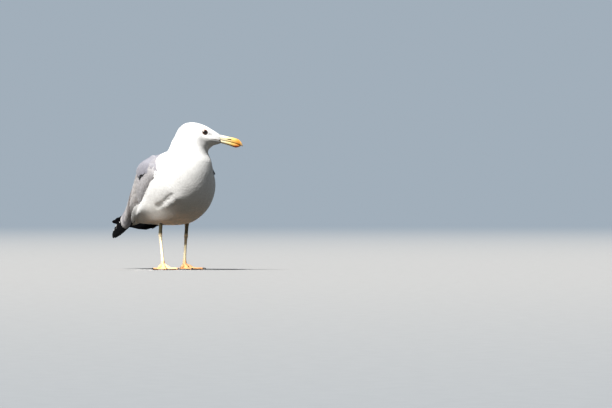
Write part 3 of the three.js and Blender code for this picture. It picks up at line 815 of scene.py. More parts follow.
def flow_round_eyes(p, flow):
    """Turns the lie of the feathers aside from the eyes, as a stream goes round a post."""
    for eye in EYES.values():
        x, y, out = eye.flat(p)
        share = np.maximum(np.hypot(x / (EYE_OPENING[0] + 1.5), y / (EYE_OPENING[1] + 1.5)), 1.0)
        angle = np.arctan2(y, x)
        weight = (np.where(out > -4, 1.0, 0.0) / share ** 2)[:, None]
        aside = eye.ahead * np.cos(2 * angle)[:, None] + eye.up * np.sin(2 * angle)[:, None]
        flow = flow + aside * weight
    return unit(flow)


def body_feathers():
    r, c = body_roots()
    p, n, down, _ = BODY_SHEET.at(r, c)
    flow = flow_round_eyes(p, unit(-down))
    side = np.cross(n, flow)
    angle = dice.normal(0, 0.13, len(r))[:, None]
    flow = flow * np.cos(angle) + side * np.sin(angle)
    depth, length, spacing = COAT_AT[np.clip(r.astype(int), 0, BODY_ROWS - 1)].T
    length = length * dice.uniform(0.93, 1.07, len(r))
    tip = BODY_SHEET.at(*BODY_SHEET.moved(r, c, flow * length[:, None]))[0]
    middle = (p + tip) / 2
    clear = np.minimum(np.minimum(eye_gap(p), eye_gap(tip)), eye_gap(middle)) > 1.0
    covered = wing_cover(p, n) & wing_cover(tip, n)
    straight = STRAIGHT_SHEET.at(r, c)[0]
    straight_tip = STRAIGHT_SHEET.at(*BODY_SHEET.moved(r, c, flow * length[:, None]))[0]
    keep = clear & ~covered & ~mouth_gap(straight) & ~mouth_gap(straight_tip)
    r, c, flow, length, depth, spacing = (v[keep] for v in (r, c, flow, length, depth, spacing))
    to_r, to_c = BODY_SHEET.moved(r, c, flow * length[:, None])
    t = DOWNY[None, :, 0]
    rows = mix(r[:, None], to_r[:, None], t)
    columns = mix(c[:, None], to_c[:, None], t)
    lift = dice.uniform(-0.1, 0.25, len(r)) * np.minimum(spacing / 3, 1)
    height = -depth[:, None] * (1 - t) ** 5.5 + lift[:, None] * t
    tint = plumage(STRAIGHT_SHEET.at(mix(r, to_r, 0.8), mix(c, to_c, 0.8))[0])
    tint = tint * dice.uniform(0.94, 1.0, (len(r), 1))
    grey = back_share(STRAIGHT_SHEET.at(mix(r, to_r, 0.8), mix(c, to_c, 0.8))[0]) > 0.5
    station = r * (len(BODY) - 1) / (BODY_ROWS - 1)
    groups = [("mantle_feathers", "grey_plumage", grey)]
    for name, first, last in COAT_PIECES:
        groups.append((name, "white_plumage", ~grey & (station >= first) & (station < last)))
    for name, slot, part in groups:
        coat = Coat()
        lay(
            coat, BODY_SHEET, rows[part], columns[part], 1.34 * spacing[part], height[part], DOWNY,
            tint[part][:, None, None], camber=0.06 * spacing[part][:, None], length=length[part], ragged=0.2,
        )
        coat.build(name, SOFT, slot)


# Pieces of the white coat and the stations of the body between which each has its roots.
COAT_PIECES = (
    ("belly_feathers", -1, 6.8), ("breast_feathers", 6.8, 10), ("neck_feathers", 10, 13.2),
    ("head_feathers", 13.2, 15.6), ("face_feathers", 15.6, 99),
)


def mouth_gap(p):
    """Whether a root lies on the line of the gape, looking straight ahead."""
    line = np.interp(p[..., 0], [x for x, _ in GAPE[::-1]], [z for _, z in GAPE[::-1]])
    return (p[..., 0] > 119) & (np.abs(p[..., 2] - line) < 0.8)


# ---------------------------------------------------------------- wings
def wing_group(coat, side, rows, shape, colour, tip=None, tip_from=0.8, edge=None, camber=0.5, roll=0.4, mottle=0.0,
               vary=0.07, ragged=0.05):
    """One group of wing feathers; rows are (x, v) of the root, (x, v) of the tip, half width, and height over
    the wing's face at root and tip. colour, tip and edge are linear colours."""
    sheet = WINGS[side]
    rows = np.asarray(rows, float)
    t = shape[None, :, 0]
    x = mix(rows[:, 0:1], rows[:, 2:3], t)
    v = mix(rows[:, 1:2], rows[:, 3:4], t)
    height = mix(rows[:, 5:6], rows[:, 6:7], 1 - (1 - t) ** 1.7)
    n = len(rows)
    tint = np.broadcast_to(colour, (n, shape.shape[0], 3, 3)).copy()
    tint = mix(tint, BROWN, dice.uniform(0, 1, (n, 1, 1, 1)) ** 2 * mottle)
    tint = tint * dice.uniform(1 - vary, 1 + vary, (n, 1, 1, 1))
    if edge is not None:
        rim = np.array([0.75, 0.0, 0.75])[None, None, :, None] * smooth(0.3, 0.7, shape[None, :, 0, None, None])
        tint = mix(tint, edge, rim * dice.uniform(0.4, 1.0, (n, 1, 1, 1)))
    if tip is not None:
        tint = mix(tint, tip, smooth(tip_from - 0.04, tip_from + 0.04, shape[None, :, 0, None, None]))
    # darkens the tints with painted shadow under the shoulder feathers' tips, and at the rear of the coverts
    tint = tint * (1 - painted_shadow_and_dark_rear(x, v)[..., None, None])
    sign = 1 if side == "right" else -1
    r = (WING[0, 0] - x) / WING_STEP
    lay(coat, sheet, r, v * (WING_COLUMNS - 1), rows[:, 4], height, shape, tint, camber, sign * roll, ragged=ragged)


def painted_shadow_and_dark_rear(x, v):
    """How much darker the wing is here: painted shadow under the shoulder feathers' tips, and darker at the rear of the
    coverts.
    """
    # painted shadow that the overhanging shoulder feathers' tips cast on the coverts
    painted_notch_shadow = 0.42 * np.exp(-((x + 28) / 12) ** 2 - ((v - 0.72) / 0.12) ** 2)
    rear = 0.3 * np.exp(-((x + 118) / 18) ** 2 - ((v - 0.5) / 0.3) ** 2)
    return painted_notch_shadow + rear


def covert_rows(x_from, x_to, v_from, v_to, step, length, half, sink, slant=0.0):
    """Small coverts in staggered rows over part of the wing."""
    rows, x, odd = [], x_from, 0
    while x > x_to:
        count = int(round((v_to - v_from) * 95 / step))
        for k in range(count):
            v = mix(v_from, v_to, (k + 0.5 * (odd % 2) + dice.uniform(-0.15, 0.15)) / count)
            xx = x - slant * v + dice.uniform(-0.12, 0.12) * step
            reach = length * dice.uniform(0.9, 1.1)
            rows.append((xx, v, xx - reach, v + dice.uniform(-0.02, 0.02) - 0.01, half, -sink, dice.uniform(0, 0.5)))
        x -= step
        odd += 1
    return rows


def wing_feathers(side):
    small = Coat()
    mottled = mix(mix(GREY, PALE, 0.5), BROWN, 0.12)
    for v_from, v_to, pale in ((0.04, 0.66, 0.38), (0.66, 1.0, 0.08)):
        lesser = covert_rows(64, -22, v_from, v_to, 6.2, 19, 6.9, 1.8)
        wing_group(small, side, lesser, DOWNY, mix(GREY, PALE, pale), edge=mix(GREY, PALE, pale + 0.35), camber=0.4,
                   roll=0.2, mottle=0.25, vary=0.1)
    median = covert_rows(-18, -52, 0.05, 0.95, 10, 27, 7.5, 3.0, slant=22)
    wing_group(small, side, median, BROAD, mottled, tip=mix(GREY, PALE, 0.6), tip_from=0.9, edge=PALE, roll=0.5,
               mottle=0.6, vary=0.18)
    small.build(f"covert_feathers_{side}", FIRM, "grey_plumage", f"wing_{side}")

    large = Coat()
    greater = []
    for k in range(13):
        v = mix(0.02, 0.86, k / 12)
        greater.append((-44 - 38 * v, v, -96 - 62 * v, v - 0.02, 7.6, -2.6, 0.3))
    wing_group(large, side, greater, QUILL, mottled, tip=PALE, tip_from=0.95, edge=PALE, roll=0.7, mottle=0.7,
               vary=0.2)
    secondaries = []
    for k in range(9):
        v = mix(0.05, 0.62, k / 8)
        secondaries.append((-84 - 34 * v, v, -128 - 70 * v, v + 0.02, 8.6, -3.2, -0.6))
    wing_group(large, side, secondaries, QUILL, DARK_GREY, tip=PALE, tip_from=0.9, edge=BROWN, roll=0.7)
    centre = mix(GREY, BROWN, 0.7) * 0.92
    for count, back, reach, half, rise in ((7, 92, 80, 10.0, 0.8), (9, 84, 66, 7.5, 1.8), (9, 76, 52, 6.5, 2.6)):
        tertials = []
        for k in range(count):
            v = mix(0.26, 0.94, k / (count - 1))
            tip = -back - reach - (34 - 4 * rise) * (1 - abs(v - 0.5)) + dice.uniform(-4, 4)
            lean = mix(0.2, 0.88, k / (count - 1)) + dice.uniform(-0.03, 0.03)
            tertials.append((-back - 18 * v, v + 0.05, tip, lean, half, -2.5, rise))
        wing_group(
            large, side, tertials, QUILL, centre, tip=mix(GREY, PALE, 0.6), tip_from=dice.uniform(0.8, 0.88),
            edge=mix(GREY, PALE, 0.8), roll=0.9, mottle=0.6, vary=0.2, ragged=0.16,
        )
    ruffled = []
    for k in range(9):
        v = mix(0.14, 1.0, k / 8)
        tip = mix(-184, -232, (k / 8) ** 0.8) + dice.uniform(-3, 3)
        ruffled.append((tip + 64, v, tip, v - 0.02, 7.5, -1.0, mix(2.0, 5.5, k / 8)))
    wing_group(large, side, ruffled, QUILL, mix(GREY, BROWN, 0.25), tip=mix(GREY, PALE, 0.6), tip_from=0.8, edge=mix(GREY, PALE, 0.6), roll=0.6, vary=0.15,
               ragged=0.2)
    large.build(f"flight_coverts_{side}", FIRM, "grey_plumage", f"wing_{side}")

    black = Coat()
    hand_coverts = []
    for k in range(7):
        v = mix(-0.02, 0.2, k / 6)
        hand_coverts.append((-72 - 4 * k, v, -118 - 3 * k, v, 5.5, -2.6, 0.2 - 0.1 * k))
    wing_group(black, side, hand_coverts, BROAD, mix(DARK_GREY, BLACK, 0.6), roll=0.4)
    primaries = []
    tips = ((-222, 0.95), (-246, 0.98), (-268, 0.98), (-284, 0.94), (-296, 0.84), (-305, 0.7), (-311, 0.5))
    short = 10 if side == "left" else 0
    for k, (x, v) in enumerate(tips):
        primaries.append((-118 - 2 * k, 0.46 - 0.06 * k, x + short, v, 8.5 - 0.25 * k, -1.6 - 0.35 * k, -0.2 - 0.42 * k))
    for k in range(3):
        primaries.append((-104 - 6 * k, 0.16 - 0.05 * k, -262 - 9 * k, 0.3 - 0.08 * k, 7.5, -3.4, -3.2 - 0.3 * k))
    wing_group(black, side, primaries[:4], BLUNT, BLACK, tip=WHITE, tip_from=0.965, camber=0.5, roll=0.5)
    wing_group(black, side, primaries[4:], BLUNT, BLACK, camber=0.5, roll=0.5)
    black.build(f"primary_feathers_{side}", DARK, "black_plumage", f"wing_tip_{side}")


def tail_feathers():
    """Twelve quills, the middle pair on top, laid out from the root to a straight end."""
    (x0, z0, half0), (x1, z1, half1) = TAIL_ROOT, TAIL_TIP
    x = np.linspace(x0 + 30, x1, 60)[:, None]
    v = np.linspace(-1, 1, 41)[None, :]
    share = (x0 - x) / (x0 - x1)
    half = mix(half0, half1, np.sqrt(np.clip(share, 0, 1)))
    grid = np.stack([x + 0 * v, v * half, mix(z0, z1, share) + 1.4 - TAIL_ROOF * v * v], -1)
    sheet = Sheet(grid, False, (0.01, 0.985, 0.99, 0.999), flip=False)
    if sheet.fields[30, 20, 5] < 0:
        sheet.fields[..., 3:6] *= -1
    coat = Coat()
    t = QUILL[None, :, 0]
    for sign in (-1, 1):
        k = np.arange(6)
        c0 = 20 + sign * (0.5 + k * 1.2)
        c1 = 20 + sign * (1.0 + k * 3.1)
        r1 = 58.4 - 0.4 * k
        rows = mix(np.full(6, 4.0)[:, None], r1[:, None], t)
        columns = mix(c0[:, None], c1[:, None], t)
        height = np.broadcast_to((-0.32 * k)[:, None], rows.shape)
        lay(coat, sheet, rows, columns, np.full(6, 6.2), height, QUILL, WHITE[None, None, None], 0.4, 0.3 * sign)
    coat.build("tail_feathers", FIRM, "white_plumage", "tail")


# ---------------------------------------------------------------- feathers laid across trunk and wing
def outer_form():
    """Trunk, neck, head and both wings as one closed surface, to lay the shoulder feathers on."""
    pieces = [loft("form_body", BODY_SHEET.fields[::2, ::3, :3])]
    for sheet in WINGS.values():
        face, normal = sheet.fields[::3, ::4, :3], sheet.fields[::3, ::4, 3:6]
        rings = np.concatenate([face, (face - 7 * normal)[:, ::-1]], 1)
        pieces.append(loft("form_wing", rings))
    form = joined("form", pieces)
    remesh = form.modifiers.new("remesh", "REMESH")
    remesh.mode, remesh.voxel_size = "VOXEL", 0.0022
    applied(form)
    relax = form.modifiers.new("relax", "SMOOTH")
    relax.factor, relax.iterations = 0.5, 6
    applied(form)
    mesh = form.data
    tree = BVHTree.FromPolygons([tuple(p) for p in points_of(form)], [tuple(f.vertices) for f in mesh.polygons])
    bpy.data.objects.remove(form)
    return tree


FORM = outer_form()


def march(start, heading, length, shares):
    """A middle line over the outer form from start, as points and normals at these shares of the length."""
    p, n, _, _ = FORM.find_nearest(Vector(start))
    points, normals = [p], [n]
    h = Vector(heading)
    for step in np.diff(shares) * length:
        h = (h - n * h.dot(n)).normalized()
        p, n, _, _ = FORM.find_nearest(p + h * step)
        points.append(p)
        normals.append(n)
    return np.array(points), np.array(normals)


def drape(coat, starts, headings, lengths, halves, heights, shape, tints, sheet, camber=0.5, roll=0.0):
    """Adds vanes that lie over the outer form; heights are (root, tip) over it. sheet gives the unwrap."""
    for i, start in enumerate(starts):
        p, n = march(start, headings[i], lengths[i], shape[:, 0])
        t = unit(np.gradient(p, axis=0))
        right = unit(np.cross(t, n))
        height = mix(heights[i][0], heights[i][1], 1 - (1 - shape[:, 0]) ** 1.7)
        width = halves[i] * shape[:, 1]
        points = np.empty((len(p), 3, 3))
        points[:, 1] = p + n * (height + camber * shape[:, 1])[:, None]
        for column, sign in ((0, -1), (2, 1)):
            q = p + right * (sign * width)[:, None] + t * (halves[i] * shape[:, 2])[:, None]
            found = [FORM.find_nearest(Vector(v)) for v in q]
            foot = np.array([f[0] for f in found])
            up = np.array([f[1] for f in found])
            points[:, column] = foot + up * (height + sign * roll)[:, None]
        r, c = nearest_on(sheet, p[0])
        tint = tints[i] if np.ndim(tints[i]) > 1 else np.broadcast_to(tints[i], (1, 1, 1, 3))
        root = sheet.place(np.array([r]), np.array([c]))
        coat.add(points[None], tint, root, np.array([halves[i]]), np.array([lengths[i]]))


def scapulars():
    """Rows of feathers from the shoulder back over the upper wing, growing longer to the rear."""
    for side, sign in (("left", 1), ("right", -1)):
        coat = Coat()
        sheet = WINGS[side]
        starts, headings, lengths, halves, heights, tints = [], [], [], [], [], []
        x = 34.0
        row = 0
        while x > -92:
            share = (34 - x) / 126
            length = mix(20, 58, share)
            v_low = 0.62 + 0.26 * smooth(12, -26, x)
            count = int(mix(11, 6, share))
            for k in range(count):
                v = mix(v_low, 1.06, (k + 0.5 * (row % 2)) / (count - 0.5))
                p = sheet.at((WING[0, 0] - min(x, 52)) / WING_STEP, v * (WING_COLUMNS - 1))[0]
                starts.append(p + dice.uniform(-1, 1, 3))
                drop = -0.25 - 0.5 * (1 - v) - 0.12 * share
                headings.append((-1, sign * -0.05, drop))
                lengths.append(length * dice.uniform(0.9, 1.1))
                halves.append(mix(6.5, 11.5, share))
                overhang = 4.5 * math.exp(-((x - 8) / 18) ** 2) * smooth(0.95, 0.75, v)
                heights.append((-2.0, mix(1.0, 3.2, share) * (1.1 - v * 0.4) + overhang))
                tip = PALE if share > 0.75 else mix(GREY, PALE, 0.25)
                shade = GREY * dice.uniform(0.93, 1.05)
                fade = smooth(0.86, 0.96, BROAD[:, 0])[:, None, None]
                tints.append(mix(np.broadcast_to(shade, (len(BROAD), 3, 3)), tip, fade)[None])
            x -= mix(6.0, 13.0, share)
            row += 1
        drape(coat, starts, headings, lengths, halves, heights, BROAD, tints, sheet, 0.5, -0.3 * sign)
        coat.build(f"scapular_feathers_{side}", FIRM, "grey_plumage", f"wing_{side}")


def flank_overlap():
    """White feathers of breast and flank that lap over the wing's front and lower edge."""
    coat = Coat()
    for side in ("left", "right"):
        sheet = WINGS[side]
        starts, headings = [], []
        lifts = []
        for x in np.arange(54, -116, -2.4):
            row = (WING[0, 0] - x) / WING_STEP
            edge, behind = sheet.at(row, 0)[0], sheet.at(row + 3, 0)[0]
            along = unit(behind - edge)
            over = smooth(8, -66, x) * smooth(-122, -98, x)
            for below in (17, 13.5, 10, 6.5, 3):
                starts.append(edge - (dice.uniform(-1, 1), 0, below - 14 * over + dice.uniform(-1, 1)))
                headings.append(along + (0, 0, dice.uniform(-0.04, 0.1) + 0.08 * over))
                lifts.append(1.6 * over)
        for v in np.linspace(0, 1.12, 34):
            front = sheet.at(0, v * (WING_COLUMNS - 1))[0]
            for ahead in (13, 9, 5, 1):
                ahead += 12
                starts.append(front + (ahead + dice.uniform(-1, 1), 0, dice.uniform(-1, 1) - 4))
                headings.append((-1.0, 0.0, -0.5 + dice.uniform(-0.1, 0.1)))
                lifts.append(0.0)
        n = len(starts)
        tints = WHITE * dice.uniform(0.95, 1.0, (n, 1))
        heights = [(-3.5, lift + more) for lift, more in zip(dice.uniform(0.1, 0.6, n), lifts)]
        drape(coat, starts, headings, dice.uniform(15, 19, n), [3.2] * n, heights, DOWNY, tints, BODY_SHEET, 0.25)
    lobe = knots(np.array(FLANK_LOBE, float), np.linspace(0, 2, 12))
    starts = [q + (step, 0, 0.35 * step) + dice.uniform(-3.5, 3.5, 3) for q in lobe for step in (6, 12, 19)]
    n = len(starts)
    headings = [(-1.0, -0.2, -0.35 + tilt) for tilt in dice.uniform(-0.25, 0.25, n)]
    heights = [(-2.5, lift) for lift in dice.uniform(0.2, 1.5, n)]
    tints = WHITE * dice.uniform(0.95, 1.0, (n, 1))
    drape(coat, starts, headings, dice.uniform(13, 20, n), [4.6] * n, heights, DOWNY, tints, BODY_SHEET, 0.3)
    coat.build("flank_feathers", SOFT, "white_plumage")


def thigh_feathers():
    """Short white feathers that run from the belly down over the top of each shank."""
    coat = Coat()
    for side, leg in LEGS.items():
        ankle, knee = np.array(leg["ankle"], float), np.array(leg["knee"], float)
        share = np.linspace(0.97, 0.5, 30)[:, None, None]
        turn = np.linspace(0, 2 * math.pi, 48, endpoint=False)[None, :, None]
        radius = mix(5.2, 12.5, ((share - 0.5) / 0.47) ** 1.4)
        ring = np.concatenate([np.cos(turn), np.sin(turn) * 0.85, 0 * turn], -1)
        sheet = Sheet(mix(ankle, knee, share) + radius * ring, True, (0.01, 0.001, 0.99, 0.009))
        if dot(sheet.fields[5, 0, 3:6], ring[0, 0]) < 0:
            sheet.fields[..., 3:6] *= -1
        r, c = np.meshgrid(np.arange(0, 20, 2.2), np.arange(0, 48, 2.6), indexing="ij")
        r, c = r.ravel() + dice.uniform(-0.6, 0.6, r.size), c.ravel() + dice.uniform(-1, 1, r.size)
        t = DOWNY[None, :, 0]
        rows = r[:, None] + 10.5 * t
        columns = c[:, None] + dice.uniform(-1, 1, (r.size, 1)) * t
        height = np.broadcast_to(-2.2 * (1 - t) ** 3, rows.shape)
        half = 2.4 - 0.05 * r
        # the thigh feathers carry the painted warm bounce light of the low belly
        lay(coat, sheet, rows, columns, half, height, DOWNY, WHITE_WITH_PAINTED_BOUNCE[None, None, None], 0.2, ragged=0.2)
    coat.build("thigh_feathers", SOFT, "white_plumage")


# ---------------------------------------------------------------- skin
def toe_point(leg, toe, share):
    """Where a toe's middle line is, this share of the way along it."""
    heading = math.radians(leg["toes"][toe])
    reach = TOE_LENGTHS[toe] * share
    x, y = leg["foot"]
    z = mix(10.5, 2.3, smooth(0, 0.6, share))
    return np.array((x + reach * math.cos(heading), y + reach * math.sin(heading), z))


def toe_rings(leg, toe):
    shares = (0, 0.13, 0.28, 0.4, 0.53, 0.66, 0.8, 0.92, 1)
    swell = (1.0, 0.95, 1.08, 0.86, 1.06, 0.86, 1.05, 0.9, 0.82)
    points = [toe_point(leg, toe, s) for s in shares]
    radii = [(mix(3.9, 2.5, s) * k, min(mix(3.9, 2.5, s) * k, 2.9) * (1.3 if s < 0.3 else 1))
             for s, k in zip(shares, swell)]
    return tube_rings(points, radii, 20, 5)


def web_rings(leg, toe_a, toe_b):
    """The sheet between two toes, thick at the toes and thin at its free edge."""
    rings = []
    for share in np.linspace(0.04, 0.95, 22):
        v = np.linspace(0, 1, 14)
        dip = np.sin(math.pi * v)
        line = np.array([
            mix(toe_point(leg, toe_a, share * (1 - 0.2 * share * d)), toe_point(leg, toe_b, share * (1 - 0.2 * share * d)), w)
            for w, d in zip(v, dip)
        ])
        line[:, 2] = np.maximum(1.9, line[:, 2] - 1.5 * dip * (1 - share))
        line[:, 2] += 0.25 * np.sin(v * 9 + 3 * share) * dip
        rings.append(np.concatenate([line + (0, 0, 0.7), (line - (0, 0, 0.7))[::-1]]))
    return np.array(rings)


def leg_skin(side):
    leg = LEGS[side]
    x, y = leg["foot"]
    ankle, knee = np.array(leg["ankle"], float), np.array(leg["knee"], float)
    foot = np.array((x, y, 19.0))
    shin = [mix(foot, ankle + (0, 0, 1), s) for s in (0, 0.15, 0.5, 0.85, 1)]
    thigh = [mix(ankle - (0, 0, 1), knee - (0, 0, 3), s) for s in (0, 0.12, 0.35, 0.65, 1)]
    joint = [(x, y, 21), (x + 0.5, y, 11), (x + 2, y, 1.6)]
    hind = [(x - 2, y - leg["side"] * 2, 11), (x - 8, y - leg["side"] * 4, 6), (x - 12.8, y - leg["side"] * 5, 1.2)]
    lofts = [
        tube_rings(shin, TARSUS_RADII, 28, 8), tube_rings(thigh, SHANK_RADII, 28, 8),
        tube_rings(joint, ((3.6, 3.9), (4.6, 4.8), (3.6, 4.2)), 28, 8),
        tube_rings(hind, ((2.2, 2.2), (1.7, 1.7), (1.1, 1.1)), 16, 8),
    ]
    lofts += [toe_rings(leg, toe) for toe in range(3)]
    lofts += [web_rings(leg, 0, 1), web_rings(leg, 1, 2)]
    made = joined(f"leg_{side}", [loft("limb", rings) for rings in lofts])
    remesh = made.modifiers.new("remesh", "REMESH")
    remesh.mode, remesh.voxel_size = "VOXEL", 0.00068
    applied(made)
    relax = made.modifiers.new("relax", "SMOOTH")
    relax.factor, relax.iterations = 0.5, 3
    applied(made)
    p = points_of(made)
    p[:, 2] = np.maximum(p[:, 2], 0.0)
    set_points(made, p)
    paint(made, leg_tint(p, leg))
    return made


def leg_tint(p, leg):
    """Cream down the leg, warmer at the ankle and on the toes, browner at the webs' edges; painted shade darkens the
    shank above the ankle.
    """
    x, y = leg["foot"]
    z = p[:, 2:3]
    colour = mix(FOOT, LEG, smooth(12, 30, z))
    colour = mix(colour, rgb("f6e6cd"), 0.6 * np.exp(-((z - leg["ankle"][2]) / 7) ** 2))
    # painted shade: the shank above the ankle darkened to olive for the belly's shadow
    colour = mix(colour, rgb("45432f"), smooth(76, 83, z) * 0.92)
    reach = np.hypot(p[:, 0] - x, p[:, 1] - y)[:, None]
    colour = mix(colour, FOOT * (0.86, 0.8, 0.74), smooth(24, 46, reach) * 0.35)
    return colour


def body_skin():
    """The trunk, neck and head, pulled in by the coat's depth, coloured as the coat is."""
    depth = COAT_AT[:, None, :1] * 0.95 + 0.25
    fields = BODY_SHEET.fields
    p = (fields[..., :3] - fields[..., 3:6] * depth)[2::2]
    straight = STRAIGHT[2::2]
    skin = loft("body_skin", p)
    colours = plumage(straight.reshape(-1, 3))
    paint(skin, np.concatenate([colours, colours[:1], colours[-1:]]))
    return skin


def arm_skin(side):
    """The folded arm and hand under the wing's feathers."""
    sheet = WINGS[side]
    keep = sheet.fields[2:96:2, 2:-1:2]
    face, normal = keep[..., :3], keep[..., 3:6]
    rings = np.concatenate([face - 4.2 * normal, (face - 9 * normal)[:, ::-1]], 1)
    skin = loft("arm_skin", rings)
    paint(skin, GREY)
    return skin


def make_skin():
    parts = [body_skin(), arm_skin("left"), arm_skin("right"), leg_skin("left"), leg_skin("right")]
    skin = joined("skin", parts)
    skin.data.materials.append(SKIN)
    skin.data.polygons.foreach_set("use_smooth", np.ones(len(skin.data.polygons), bool))
    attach(skin, "root")
    limbs = [f"{part}_{side}" for part in ("shank", "tarsus", "foot") for side in ("left", "right")]
    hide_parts("trunk", "neck", "head", *limbs)
    print("skin", sum(len(f.vertices) - 2 for f in skin.data.polygons))


# ---------------------------------------------------------------- bill, eyes and claws
def finished(obj, look, slot, *nodes):
    obj.data.materials.clear()
    obj.data.materials.append(look)
    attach(obj, "root")
    if nodes:
        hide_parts(*nodes)
    return obj


BILL_DROOP = 0.055  # fall of the bill per millimetre of its length
EDGE_MEET = 0.7  # by which the halves of the bill close on each other
NOSTRIL = (166.0, 287.4, 4.6, 0.95)  # x, z, half length and half height
GONYS_SPOT = (180.0, 272.0, 6.6, 4.0)


def mandible(name, table, square_top, square_low):
    """Rings of one half of the bill, looking straight ahead."""
    upper = table is BILL_UPPER
    at = 1 - (1 - np.linspace(0, 1, 150)) ** 1.25
    v = knots(table, at * (len(table) - 1))
    angle = np.linspace(0, 2 * math.pi, 64, endpoint=False)[None, :]
    c, s = np.cos(angle), np.sin(angle)
    square = np.where(s >= 0, square_top, square_low)
    across = np.sign(c) * np.abs(c) ** (2 / square)
    along = np.sign(s) * np.abs(s) ** (2 / square)
    meet = EDGE_MEET * smooth(191, 184, v[:, 0])
    if upper:
        v[:, 2] -= meet
    else:
        v[:, 1] += meet
    middle, tall = (v[:, 1:2] + v[:, 2:3]) / 2, (v[:, 1:2] - v[:, 2:3]) / 2
    p = np.stack([v[:, 0:1] + 0 * c, across * v[:, 3:4], middle + along * tall], -1)
    if upper:
        dx, dz = (p[..., 0] - NOSTRIL[0]) / NOSTRIL[2], (p[..., 2] - NOSTRIL[1] + 0.06 * (p[..., 0] - 166)) / NOSTRIL[3]
        slit = np.exp(-((dx ** 2 + dz ** 2) ** 1.5)) * smooth(2, 4, np.abs(p[..., 1]))
        p[..., 1] -= np.sign(p[..., 1]) * 1.7 * slit
        groove = np.exp(-((p[..., 2] - middle + 1.0) / 1.3) ** 2) * smooth(176, 150, p[..., 0])
        p[..., 1] -= np.sign(p[..., 1]) * 0.45 * groove
    else:
        slit = np.zeros(p.shape[:2])
    droop = np.clip(p[..., 0] - 147, 0, None) * BILL_DROOP
    obj = loft(name, turned(p - np.stack([0 * droop, 0 * droop, droop], -1), 1.0))
    edge = v[:, 2:3] if upper else v[:, 1:2]
    colour = bill_tint(p, slit, np.exp(-((p[..., 2] - edge) / 0.5) ** 2))
    ends = np.concatenate([colour.reshape(-1, 3), colour[0, :1], colour[-1, :1]])
    paint(obj, ends)
    return obj


def bill_tint(p, slit, edge):
    """Cream at the root, yellow to orange at the tip, a red spot on the keel's angle, nostrils painted dark for the
    shade inside them and a brownish cutting edge."""
    x = p[..., 0:1]
    colour = mix(rgb("f8ecca"), rgb("fde4a8"), smooth(150, 166, x))
    colour = mix(colour, rgb("facd78"), smooth(164, 174, x))
    colour = mix(colour, rgb("f2a548"), smooth(174, 186, x))
    colour = mix(colour, rgb("f3c987"), smooth(187, 193, x))
    spot = ((p[..., 0] - GONYS_SPOT[0]) / GONYS_SPOT[2]) ** 2 + ((p[..., 2] - GONYS_SPOT[1]) / GONYS_SPOT[3]) ** 2
    colour = mix(colour, rgb("dc6238"), 0.85 * smooth(1.5, 0.4, spot)[..., None])
    colour = mix(colour, rgb("a8763a"), 0.3 * edge[..., None])
    ridge = smooth(288, 293, p[..., 2]) * smooth(170, 150, p[..., 0])
    colour = mix(colour, rgb("f8f0da"), 0.7 * ridge[..., None])
    # painted shade: the nostril slits darkened for the shade inside the openings
    return mix(colour, rgb("4a2f1e"), np.clip(1.3 * slit, 0, 1)[..., None])


GAPE = ((146.5, 284.9), (141, 285.6), (135.5, 286.8), (128, 287.3), (119.6, 287.0))  # x and z, straight ahead


def side_place(x, z, sign):
    """Row and column of the body's surface at this x and z, looking straight ahead, on the side of this sign."""
    gap = np.hypot(STRAIGHT[..., 0] - x, STRAIGHT[..., 2] - z) + np.where(STRAIGHT[..., 1] * sign > 2, 0.0, 99.0)
    r, c = np.unravel_index(gap.argmin(), gap.shape)
    return float(r), float(c)


def gape_line():
    """The corner of the mouth, a soft fold running back from the bill below the eye: brown gape skin with painted shade
    of its crease, paler towards the bill.
    """
    for side, sign in (("left", 1), ("right", -1)):
        points = []
        for x, z in GAPE:
            p, n, _, _ = BODY_SHEET.at(*side_place(x, z, sign))
            points.append(p - n * 0.25)
        rings = tube_rings(points, ((0.4, 0.35), (0.5, 0.45), (0.65, 0.6), (0.6, 0.55), (0.25, 0.25)), 12, 8)
        obj = loft(f"gape_{side}", rings)
        toward_bill = np.append(np.repeat(np.linspace(1, 0, len(rings)), rings.shape[1]), (1, 0))[:, None]
        # painted shade: the fold is near black away from the bill for the shade in its crease
        paint(obj, mix(rgb("3a2c26"), rgb("8f7052"), smooth(0.35, 0.7, toward_bill)))
        finished(obj, LID_SKIN, "bill_horn")


def make_bill():
    upper = mandible("bill_upper_horn", BILL_UPPER, 2.0, 4.5)
    finished(upper, BILL_HORN, "bill_horn", "bill_upper")
    lower = mandible("bill_lower_horn", BILL_LOWER, 4.5, 2.0)
    finished(lower, BILL_HORN, "bill_horn", "bill_lower")
    gape_line()


